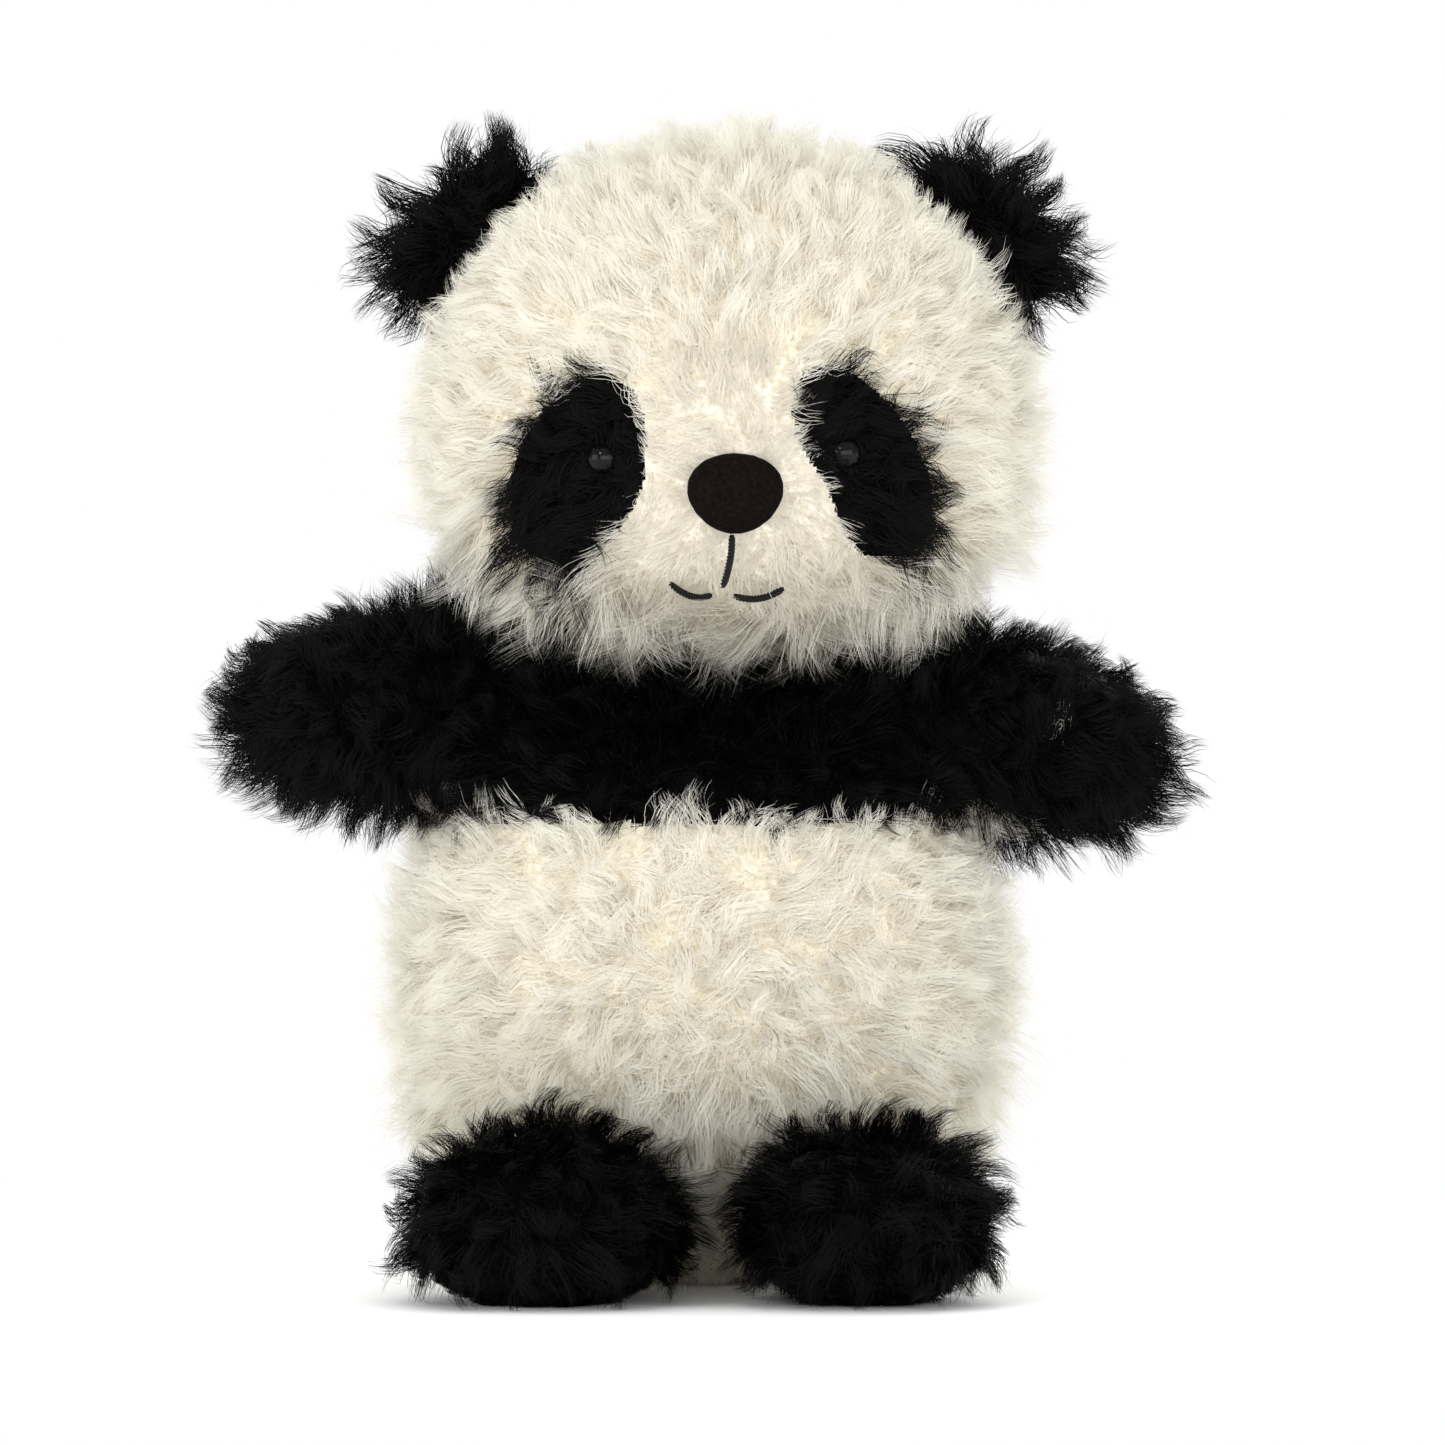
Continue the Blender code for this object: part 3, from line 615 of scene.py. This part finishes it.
def strand_mesh(name, sets, softness, rng, material):
    """One mesh of tapered flat strands.

    sets are (paths, facing, half widths), with paths as (strand, step, xyz). Their shading
    turns towards the skin's own, by softness, so that the coat shades as one soft mass.
    """
    all_points, all_normals, all_uv, all_loops, all_sizes = [], [], [], [], []
    base = 0
    for paths, facing, width in sets:
        total, steps, _ = paths.shape
        along = unit(np.gradient(paths, axis=1))
        outward = facing[:, None, :] + rng.normal(0.0, 0.3, (total, 1, 3))
        side = unit(np.cross(outward, along))
        flat = np.cross(along, side)
        taper = np.interp(np.linspace(0.0, 1.0, steps), [0.0, 0.35, 1.0], [1.0, 0.95, 0.3])
        half = (width[:, None] * taper[None, :])[:, :, None]
        rows = np.stack([paths + side * half, paths - side * half], axis=2)[:, :-1]
        points = np.concatenate([rows.reshape(total, -1, 3), paths[:, -1:]], axis=1)
        per = points.shape[1]
        shade = unit(facing[:, None, :] * softness + flat * (1.0 - softness))
        shade = np.concatenate([np.repeat(shade[:, :-1], 2, axis=1), shade[:, -1:]], axis=1)
        level = np.append(np.repeat(np.arange(steps - 1), 2), steps - 1) / (steps - 1)
        offset = np.append(np.tile([0.0, 1.0], steps - 1), 0.5)
        u = 0.01 + 0.97 * rng.random((total, 1)) + offset[None, :] * 0.006
        v = np.broadcast_to(0.02 + 0.96 * level[None, :], (total, per))
        face = []
        for row in range(steps - 2):
            low = row * 2
            face += [low, low + 1, low + 3, low + 2]
        face += [per - 3, per - 2, per - 1]
        loops = (base + np.arange(total)[:, None] * per + np.array(face)[None]).ravel()
        all_points.append(points.reshape(-1, 3))
        all_normals.append(shade.reshape(-1, 3))
        all_uv.append(np.stack([u, v], axis=2).reshape(-1, 2))
        all_loops.append(loops)
        all_sizes.append(np.tile([4] * (steps - 2) + [3], total))
        base += total * per
    points = np.concatenate(all_points)
    points[:, 2] = np.maximum(points[:, 2], FLOOR_CLEARANCE)
    loops = np.concatenate(all_loops).astype(np.int32)
    sizes = np.concatenate(all_sizes).astype(np.int32)
    starts = np.concatenate([[0], np.cumsum(sizes)[:-1]]).astype(np.int32)
    mesh = bpy.data.meshes.new(name)
    mesh.vertices.add(len(points))
    mesh.vertices.foreach_set("co", points.astype(np.float32).ravel())
    mesh.loops.add(len(loops))
    mesh.loops.foreach_set("vertex_index", loops)
    mesh.polygons.add(len(starts))
    mesh.polygons.foreach_set("loop_start", starts)
    mesh.polygons.foreach_set("loop_total", sizes)
    mesh.polygons.foreach_set("use_smooth", np.ones(len(starts), bool))
    layer = mesh.uv_layers.new(name=BAKE_UV)
    layer.uv.foreach_set("vector", np.concatenate(all_uv)[loops].astype(np.float32).ravel())
    mesh.materials.append(material)
    mesh.update(calc_edges=True)
    mesh.normals_split_custom_set_from_vertices(np.concatenate(all_normals).astype(np.float32))
    return added(name, mesh)


def fur_pieces(name, body, slot_name, locks, under, material, rng):
    """Fur as pieces small enough to export whole, each a band of neighbouring strands."""
    cost = len(locks[0]) * (2 * LOCK_STEPS - 3) + len(under[0]) * (2 * UNDER_STEPS - 3)
    parts = max(1, math.ceil(cost / MAX_TRIANGLES))
    height = locks[0][:, 0, 2]
    edges = np.quantile(height, np.linspace(0.0, 1.0, parts + 1)[1:-1])
    for index in range(parts):
        sets = []
        for paths, facing, width in (locks, under):
            chosen = np.digitize(paths[:, 0, 2], edges) == index
            sets.append((paths[chosen], facing[chosen], width[chosen]))
        label = name if parts == 1 else f"{name}_{index + 1}"
        obj = strand_mesh(label, sets, SOFTNESS[slot_name], rng, material)
        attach(obj, body)


# ---------------------------------------------------------------- the toy


def gap_to(points, target, radius, floor=0.25):
    """1 away from a small feature, falling to floor within its radius."""
    distance = np.linalg.norm(points - np.array(target)[None, :], axis=1)
    return np.clip((distance - radius * 0.6) / (radius * 0.8), floor, 1.0)


def pivot_of(body):
    """Where a body turns on its parent."""
    for joint in frame["record"]["behaviour"]["joints"]:
        if joint["child"] == body:
            return Vector(joint["pos_m"])
    raise KeyError(body)


def middle(name):
    low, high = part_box(name)
    return (low + high) / 2.0


def even(points, normals):
    return np.ones(len(points))


def none(points, normals):
    return np.zeros(len(points))


def coat_body(
    name, body, result, panels, coats, comb_of, scale_of, materials, seed, stand_of=none,
    cut_of=same,
):
    """Grows each colour of fur on a skin: panels of one slot share their pieces."""
    obj, tree, owners = result
    rng = np.random.default_rng(seed)
    grown = {}
    for layer, density in (("locks", STRANDS_PER_MM2), ("under", UNDER_PER_MM2)):
        roots, normals = scatter(obj, density, rng)
        owner = owners_of(cut_of(roots + normals * BACKING_DEPTH), tree, owners)
        panel_of = np.array(panels)[owner]
        comb = comb_of(roots, normals)
        scale = scale_of(roots, normals)
        stand = stand_of(roots, normals)
        groups = {}
        for panel in panels:
            groups.setdefault((SLOT_OF[panel], coats[panel]), []).append(panel)
        for (slot_name, coat), members in groups.items():
            mask = np.isin(panel_of, members)
            if mask.sum() < 20:
                continue
            here, facing = roots[mask], normals[mask]
            if layer == "locks":
                paths = grow(
                    here, facing, comb[mask], coat, rng, scale[mask], stand[mask], seed
                )
            else:
                paths = undercoat(here, facing, comb[mask], coat, rng, scale[mask])
            width = coat.width * rng.uniform(0.7, 1.2, len(here))
            grown.setdefault(slot_name, {}).setdefault(layer, []).append((paths, facing, width))
    for slot_name, layers in grown.items():
        locks, under = (
            tuple(np.concatenate(part) for part in zip(*layers[layer]))
            for layer in ("locks", "under")
        )
        material = materials[slot_name]
        fur_pieces(f"{name}_{slot_name}", body, slot_name, locks, under, material, rng)


def make_head(materials):
    panels = [
        "crown_panel", "head_back_left", "head_back_right", "cheek_left", "cheek_right",
        "muzzle_panel", "eye_patch_left", "eye_patch_right",
    ]
    eyes = [middle("eye_left"), middle("eye_right")]
    nose = np.array(middle("nose_cover"))
    centre = np.array(middle("head_stuffing"))

    def cut_of(points):
        """The eye patches are cut slimmer than their seams, and the left one slants."""
        x, z = points[:, 0], points[:, 2]
        moved = points.copy()
        left, right = eyes
        inner = np.clip((left.x + 0.004 - x) / 0.006, 0.0, 1.0)
        slant = np.clip((left.z + 0.005 - z) * 0.32, -0.0038, 0.0032)
        shift_left = inner * slant + (1.0 - inner) * -0.003
        inner = np.clip((x - right.x + 0.004) / 0.006, 0.0, 1.0)
        slant = np.clip((z - right.z) * 0.15, 0.0, 0.0015)
        shift_right = inner * slant + (1.0 - inner) * 0.0036
        on_left = x > nose[0]
        moved[:, 0] -= np.where(on_left, shift_left, shift_right)
        height = z - np.where(on_left, left.z, right.z) + 0.006
        moved[:, 2] += np.clip(height / 0.012, -1.0, 1.0) * 0.0023
        return np.where((points[:, 1] < centre[1])[:, None], moved, points)

    result = skin(
        "head_skin", "head", panels, ["head_stuffing"], materials, PANEL_LOOK, 28,
        holes=eyes, cut_of=cut_of, smooth=2,
    )
    ears = [pivot_of(f"ear_{side}") for side in SIDES]
    stitches = [thread_path(f"mouth_thread_{part}", 12) for part in ("centre", "left", "right")]
    stitches = np.array([point[:] for path in stitches for point in path])
    cream = Coat(9.0, 48, curl=1.5, clump=0.74, locks=0.13, width=0.062)
    muzzle = Coat(9.0, 32, curl=1.1, clump=0.62, locks=0.13, width=0.058, under=0.35)
    patch = Coat(7.6, 40, curl=1.7, clump=0.88, locks=0.11, width=0.068)
    coats = {panel: cream for panel in panels}
    coats["muzzle_panel"] = muzzle
    coats["eye_patch_left"] = patch
    coats["eye_patch_right"] = patch

    def comb_of(points, normals):
        comb = unit(points - nose - np.array([0.0, 0.004, 0.002]))
        comb[:, 2] -= 0.2
        bottom = np.clip(-normals[:, 2], 0.0, 1.0)
        comb[:, 1] -= bottom * 0.9
        comb[:, 2] -= bottom * 0.6
        return comb

    def scale_of(points, normals):
        away = np.linalg.norm(points - nose[None, :], axis=1)
        front = points[:, 1] < centre[1]
        scale = np.where(front, np.clip((away - 0.001) / 0.024, 0.36, 1.0), 1.0)
        above = front & (points[:, 2] > nose[2])
        scale = np.where(above, np.maximum(scale, 0.62), scale)
        chin = np.clip(-normals[:, 2] * 2.0, 0.0, 1.0) * front
        crown = np.clip((normals[:, 2] - 0.5) / 0.3, 0.0, 1.0)
        tuft = np.exp(-(((points[:, 0] - nose[0]) / 0.008) ** 2))
        scale = scale * (1.0 + 0.5 * chin - 0.25 * crown + 0.3 * crown * tuft)
        gap = np.linalg.norm(points[:, None] - stitches[None], axis=2).min(axis=1)
        scale = scale * np.clip(gap / 0.0045, 0.45, 1.0)
        across = np.abs(points[:, 0] - nose[0])
        beside = np.clip(1.5 - np.abs(across - 0.0135) / 0.004, 0.0, 1.0)
        level = np.clip((0.016 - np.abs(points[:, 2] - nose[2] + 0.002)) / 0.004, 0.0, 1.0)
        scale = scale * (1.0 - 0.4 * front * beside * level)
        for eye in eyes:
            scale = scale * gap_to(points, eye, 0.0042, 0.3)
        for ear in ears:
            scale = scale * gap_to(points, ear, 0.015, 0.4)
        return scale

    def stand_of(points, normals):
        """The short pile round the nose and over the bridge lies flat."""
        away = np.linalg.norm(points - nose[None, :], axis=1)
        return -15.0 * np.clip((0.024 - away) / 0.008, 0.0, 1.0)

    coat_body(
        "head", "head", result, panels, coats, comb_of, scale_of, materials, 11, stand_of, cut_of
    )


def make_torso(materials):
    panels = [
        "yoke_front", "yoke_back", "belly_front", "belly_back_left", "belly_back_right",
        "seat_panel",
    ]
    inner = ["body_stuffing", "bead_bag"]
    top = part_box("yoke_front")[1].z
    bulges = []
    for side, sign in SIDES.items():
        root = pivot_of(f"arm_{side}")
        bulges.append((root, ARM_ROOT_R))
        collar = Vector((root.x - sign * 16.0 * MM, root.y, top - 8.5 * MM))
        bulges.append((collar, COLLAR_R))
    result = skin("torso_skin", "torso", panels, inner, materials, PANEL_LOOK, 28, bulges=bulges)
    cream = Coat(11.0, 48, curl=1.9, clump=0.76, locks=0.12, width=0.062)
    black = Coat(8.5, 44, curl=1.6, clump=0.84, locks=0.11, width=0.068)
    seat = Coat(5.0, 25, curl=0.8, clump=0.7, locks=0.08)
    coats = {panel: cream for panel in panels}
    coats["yoke_front"] = black
    coats["yoke_back"] = black
    coats["seat_panel"] = seat
    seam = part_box("yoke_front")[0].z
    navel = seam - 18.0 * MM

    def comb_of(points, normals):
        rise = np.where(points[:, 2] > seam, -0.020, points[:, 2] - navel)
        comb = np.stack([points[:, 0], points[:, 1] * 0.5, rise], axis=1) * 40.0
        return comb * (1.0 - crest_of(points)[:, None])

    def crest_of(points):
        return np.clip((points[:, 2] - top + 0.012) / 0.008, 0.0, 1.0)

    def scale_of(points, normals):
        hem = np.clip(1.0 - np.abs(points[:, 2] - seam + 0.003) / 0.007, 0.0, 1.0)
        foot = np.clip((0.024 - points[:, 2]) / 0.012, 0.0, 1.0)
        return 1.0 + 0.3 * crest_of(points) - 0.42 * hem - 0.4 * foot

    def stand_of(points, normals):
        return 32.0 * crest_of(points)

    coat_body(
        "torso", "torso", result, panels, coats, comb_of, scale_of, materials, 23, stand_of
    )


def broaden(mesh, base, outward, factor, inward):
    """Makes an ear broader along its base line and sets it deeper in the head's fur."""
    outward = unit(outward * np.array([1.0, 0.0, 1.0]))
    line = np.cross(outward, (0.0, 1.0, 0.0))
    for vert in mesh.vertices:
        across = (np.array(vert.co) - base) @ line
        shift = line * across * (factor - 1.0) - outward * inward
        vert.co += Vector(shift)


def make_limbs(materials):
    limb = Coat(8.6, 42, curl=1.9, clump=0.9, locks=0.11, width=0.068)
    sole = Coat(3.0, 20, curl=0.5, clump=0.6, locks=0.1)
    ear_coat = Coat(9.2, 44, curl=2.0, clump=0.9, locks=0.11, width=0.08)
    head = np.array(middle("head_stuffing"))
    for side, sign in SIDES.items():
        arm = f"arm_{side}"
        panels = [f"{arm}_front", f"{arm}_back"]
        inner = [f"{arm}_stuffing"]
        result = skin(f"{arm}_skin", arm, panels, inner, materials, PANEL_LOOK, 16)
        coats = {panel: limb for panel in panels}
        root = np.array(pivot_of(arm))

        def arm_comb(points, normals, root=root, sign=sign):
            comb = (points - root) * 25.0
            comb[:, 0] = sign
            comb[:, 2] -= 0.2
            return comb

        def near_root(points, root=root):
            away = np.linalg.norm(points - root, axis=1)
            return np.clip((0.022 - away) / 0.008, 0.0, 1.0)

        def arm_scale(points, normals, near_root=near_root):
            return 1.0 + 0.15 * near_root(points) - 0.35 * normals[:, 2].clip(0.0, 1.0)

        def arm_stand(points, normals, near_root=near_root):
            return 25.0 * near_root(points) - 20.0 * normals[:, 2].clip(0.0, 1.0)

        coat_body(
            arm, arm, result, panels, coats, arm_comb, arm_scale, materials, 31, arm_stand
        )
        foot = f"foot_{side}"
        panels = [f"{foot}_upper", f"{foot}_sole"]
        inner = [f"{foot}_stuffing"]
        result = skin(f"{foot}_skin", foot, panels, inner, materials, PANEL_LOOK, 16)
        coats = {panels[0]: limb, panels[1]: sole}
        top = np.array(middle(panels[0])) + np.array([0.0, 0.010, 0.004])

        def foot_comb(points, normals, top=top):
            comb = unit(points - top)
            comb[:, 2] -= 0.35
            return comb

        coat_body(foot, foot, result, panels, coats, foot_comb, even, materials, 37)
        ear = f"ear_{side}"
        panels = [f"{ear}_front", f"{ear}_back"]
        result = skin(
            f"{ear}_skin", ear, panels, [], materials, PANEL_LOOK, 14, EAR_INSET
        )
        coats = {panel: ear_coat for panel in panels}
        base = np.array(pivot_of(ear))
        outward = unit(np.array(middle(panels[0])) - base)
        broaden(result[0].data, base, outward, EAR_BROADEN, EAR_SINK)

        def ear_comb(points, normals, base=base):
            return unit(points - base) + unit(points - head) * 0.25

        coat_body(ear, ear, result, panels, coats, ear_comb, even, materials, 41)


def make_tail(materials):
    panels = ["tail_upper", "tail_lower"]
    result = skin("tail_skin", "tail", panels, ["tail_stuffing"], materials, PANEL_LOOK, 12)
    coats = {panel: Coat(8.0, 45, curl=1.0, clump=0.75, locks=0.08) for panel in panels}
    body = np.array(middle("body_stuffing"))

    def comb_of(points, normals):
        comb = unit(points - body)
        comb[:, 2] -= 0.3
        return comb

    coat_body("tail", "tail", result, panels, coats, comb_of, even, materials, 43)


# ---------------------------------------------------------------- face details


def turned(name, profile, base, along, segments=40):
    """A solid of revolution: profile holds (radius, height) from base, closed at the axis."""
    bm = bmesh.new()
    turn = along.to_track_quat("Z", "Y").to_matrix().to_4x4()
    rings = []
    for radius, height in profile:
        if radius < 1e-6:
            rings.append([bm.verts.new((0.0, 0.0, height))])
            continue
        ring = []
        for index in range(segments):
            angle = 2.0 * math.pi * index / segments
            ring.append(
                bm.verts.new((radius * math.cos(angle), radius * math.sin(angle), height))
            )
        rings.append(ring)
    for lower, upper in zip(rings, rings[1:]):
        for index in range(segments):
            after = (index + 1) % segments
            if len(lower) == 1:
                bm.faces.new((lower[0], upper[after], upper[index]))
            elif len(upper) == 1:
                bm.faces.new((lower[index], lower[after], upper[0]))
            else:
                bm.faces.new((lower[index], lower[after], upper[after], upper[index]))
    bmesh.ops.transform(bm, matrix=Matrix.Translation(base) @ turn, verts=bm.verts)
    bmesh.ops.recalc_face_normals(bm, faces=bm.faces)
    return added(name, smooth_mesh(name, bm))


def make_eyes():
    """Glossy domed beads on a short shank, each held by a washer inside the head."""
    glossy = tinted_material("bead_black", linear(3, 3, 3), linear(8, 7, 8), 500.0, 0.05, 0.14)
    moulded = tinted_material(
        "washer_moulded", linear(206, 205, 200), linear(218, 217, 212), 900.0, 0.5
    )
    for side in SIDES:
        centre = middle(f"eye_{side}")
        washer = middle(f"eye_washer_{side}")
        along = (centre - washer).normalized()
        profile = [(0.0, -3.0 * MM), (0.8 * MM, -3.0 * MM), (0.8 * MM, -1.1 * MM)]
        profile += [(BEAD_R * 0.86, -0.9 * MM), (BEAD_R * 0.97, -0.5 * MM)]
        for index in range(9):
            angle = index * math.pi / 16.0
            profile.append((BEAD_R * math.cos(angle), BEAD_DOME * math.sin(angle)))
        profile[-1] = (0.0, BEAD_DOME)
        base = centre + along * BEAD_RISE
        bead = turned(f"eye_bead_{side}", profile, base, along)
        bead.data.materials.append(glossy)
        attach(bead, "head")
        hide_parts(f"eye_{side}")
        rim = [(0.0, -0.5), (2.2, -0.5), (2.5, -0.3), (2.5, 0.3), (2.2, 0.5), (1.2, 0.5)]
        rim += [(1.1, 0.2), (0.0, 0.2)]
        profile = [(radius * MM, height * MM) for radius, height in rim]
        disc = turned(f"eye_lock_{side}", profile, washer - along * 2.5 * MM, along)
        disc.data.materials.append(moulded)
        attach(disc, "head")
        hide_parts(f"eye_washer_{side}")


def make_nose():
    """A domed felt nose, broad on top and narrow below, drawn in at its stitched rim."""
    low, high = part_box("nose_cover")
    centre = (low + high) / 2.0
    centre.y = high.y
    half = Vector(((high.x - low.x) / 2.0, high.y - low.y, (high.z - low.z) / 2.0))
    bm = quad_ball(20)
    for vert in bm.verts:
        x, y, z = vert.co
        broad = 1.04 + 0.13 * z
        front = -abs(y) ** 0.8 if y < 0.0 else y * 0.45
        vert.co = centre + Vector((x * half.x * broad, front * half.y, z * half.z))
    bm.normal_update()
    for vert in bm.verts:
        grain = noise.noise(vert.co * 900.0) * 0.10 * MM
        vert.co += vert.normal * grain
    mesh = smooth_mesh("nose_felt_pad", bm)
    felt = backing_material("nose_felt", linear(9, 6, 5), linear(18, 12, 11), 1500.0)
    mesh.materials.append(felt)
    obj = added("nose_felt_pad", mesh)
    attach(obj, "head")
    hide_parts("nose_cover", "nose_padding")


def thread_path(name, count=40, before=0.0):
    """The smooth middle line of a CAD thread, made longer by before at its upper end."""
    low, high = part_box(name)
    points = np.array([vert.co[:] for vert in NODES[name].data.vertices])
    axis = 0 if high.x - low.x > high.z - low.z else 2
    others = [index for index in range(3) if index != axis]
    curves = [np.polyfit(points[:, axis], points[:, other], 2) for other in others]
    places = np.linspace(low[axis] + 0.3 * MM, high[axis] - 0.3 * MM + before, count)
    path = np.empty((count, 3))
    path[:, axis] = places
    for other, curve in zip(others, curves):
        path[:, other] = np.polyval(curve, places)
    return [Vector(point) for point in path]


def yarn(name, path, radius, plies, twists, material):
    """Twisted thread: plies wound round a path, joined as one mesh."""
    bm = bmesh.new()
    count = len(path)
    sides = 7
    for ply in range(plies):
        rings = []
        for index, point in enumerate(path):
            before = path[max(0, index - 1)]
            after = path[min(count - 1, index + 1)]
            along = (after - before).normalized()
            side = along.cross(Vector((0.0, -1.0, 0.1))).normalized()
            up = along.cross(side)
            angle = 2.0 * math.pi * (ply / plies + twists * index / (count - 1))
            core = point + (side * math.cos(angle) + up * math.sin(angle)) * radius * 0.5
            share = index / (count - 1)
            thick = radius * 0.62 * min(1.0, 0.45 + 6.0 * min(share, 1.0 - share))
            ring = []
            for corner in range(sides):
                turn = 2.0 * math.pi * corner / sides
                offset = side * math.cos(turn) + up * math.sin(turn)
                ring.append(bm.verts.new(core + offset * thick))
            rings.append(ring)
        for lower, upper in zip(rings, rings[1:]):
            for corner in range(sides):
                after = (corner + 1) % sides
                bm.faces.new((lower[corner], lower[after], upper[after], upper[corner]))
        bm.faces.new(reversed(rings[0]))
        bm.faces.new(rings[-1])
    bmesh.ops.recalc_face_normals(bm, faces=bm.faces)
    mesh = smooth_mesh(name, bm)
    mesh.materials.append(material)
    return added(name, mesh)


def make_mouth():
    """The three stitched lines under the nose, each a twisted thread."""
    thread = tinted_material(
        "thread_twist", linear(6, 5, 5), linear(15, 12, 12), 2400.0, 0.6, 0.2
    )
    for part in ("centre", "left", "right"):
        node = f"mouth_thread_{part}"
        before = 1.5 * MM if part == "centre" else 0.0
        path = thread_path(node, before=before)
        path = [point + Vector((0.0, -THREAD_RISE, 0.0)) for point in path]
        obj = yarn(f"mouth_stitch_{part}", path, THREAD_R, 3, 5.0, thread)
        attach(obj, "head")
        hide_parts(node)


def make_neck():
    """The thread that closes the neck opening, hidden in the fur under the chin."""
    mat = tinted_material("seam_twist", linear(12, 10, 10), linear(28, 25, 24), 1800.0, 0.8)
    seam = NODES["neck_seam_thread"]
    seam.data.materials.clear()
    seam.data.materials.append(mat)


# ---------------------------------------------------------------- stage


def seen_level(tree, socket, strength):
    """Gives the toy light of this strength, while the surface itself shows as plain white."""
    seen = add_node(tree, "ShaderNodeLightPath")
    level = add_node(tree, "ShaderNodeMapRange")
    level.inputs["To Min"].default_value = strength
    level.inputs["To Max"].default_value = 1.0
    tree.links.new(seen.outputs["Is Camera Ray"], level.inputs["Value"])
    tree.links.new(level.outputs["Result"], socket)


def floor_material():
    """White card that melts into the white surround further out."""
    mat, tree, shader = new_material("studio_floor", 0.7, 0.15)
    shader.inputs["Base Color"].default_value = (0.95, 0.95, 0.95, 1.0)
    place = add_node(tree, "ShaderNodeTexCoord")
    reach = add_node(tree, "ShaderNodeVectorMath", operation="LENGTH")
    fade = add_node(tree, "ShaderNodeMapRange", interpolation_type="SMOOTHSTEP")
    fade.inputs["From Min"].default_value = 0.07
    fade.inputs["From Max"].default_value = 0.30
    white = add_node(tree, "ShaderNodeEmission")
    seen_level(tree, white.inputs["Strength"], FLOOR_LIGHT)
    blend = add_node(tree, "ShaderNodeMixShader")
    links = tree.links
    links.new(place.outputs["Object"], reach.inputs[0])
    links.new(reach.outputs["Value"], fade.inputs["Value"])
    links.new(fade.outputs["Result"], blend.inputs["Fac"])
    links.new(shader.outputs["BSDF"], blend.inputs[1])
    links.new(white.outputs["Emission"], blend.inputs[2])
    links.new(blend.outputs["Shader"], tree.nodes["Material Output"].inputs["Surface"])
    return mat


def make_world():
    """Even white light; the surround itself shows pure white."""
    world = bpy.data.worlds.new("studio")
    bpy.context.scene.world = world
    world.use_nodes = True
    tree = world.node_tree
    glow = tree.nodes["Background"]
    glow.inputs["Color"].default_value = (1.0, 1.0, 1.0, 1.0)
    seen_level(tree, glow.inputs["Strength"], WORLD_LIGHT)


def make_stage():
    bpy.ops.mesh.primitive_plane_add(size=12.0)
    floor = bpy.context.object
    floor.name = "studio_floor"
    floor.data.materials.append(floor_material())
    make_world()
    for name, place, size, power in LAMPS:
        data = bpy.data.lights.new(name, "AREA")
        data.shape = "SQUARE"
        data.size = size
        data.energy = power
        lamp = bpy.data.objects.new(name, data)
        lamp.location = place
        aim = Vector(LAMP_AIM) - Vector(place)
        lamp.rotation_euler = aim.to_track_quat("-Z", "Y").to_euler()
        bpy.context.scene.collection.objects.link(lamp)


def make_camera():
    depth = (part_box("yoke_front")[0].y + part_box("yoke_back")[1].y) / 2.0
    target = Vector((VIEW_MIDDLE_X, depth, VIEW_MIDDLE_Z))
    elevation = math.radians(CAMERA_ELEVATION)
    data = bpy.data.cameras.new("camera")
    data.sensor_width = SENSOR_WIDTH
    data.lens = SENSOR_WIDTH * CAMERA_DISTANCE / VIEW_WIDTH
    data.clip_start = 0.01
    data.clip_end = 50.0
    camera = bpy.data.objects.new("camera", data)
    back = Vector((0.0, -math.cos(elevation), math.sin(elevation)))
    camera.location = target + back * CAMERA_DISTANCE
    camera.rotation_euler = (-back).to_track_quat("-Z", "Y").to_euler()
    bpy.context.scene.collection.objects.link(camera)
    bpy.context.scene.camera = camera


def main():
    make_camera()
    make_stage()
    materials = make_materials()
    make_head(materials)
    make_torso(materials)
    make_limbs(materials)
    make_tail(materials)
    make_eyes()
    make_nose()
    make_mouth()
    make_neck()
    bpy.context.scene.view_settings.view_transform = "Standard"


main()
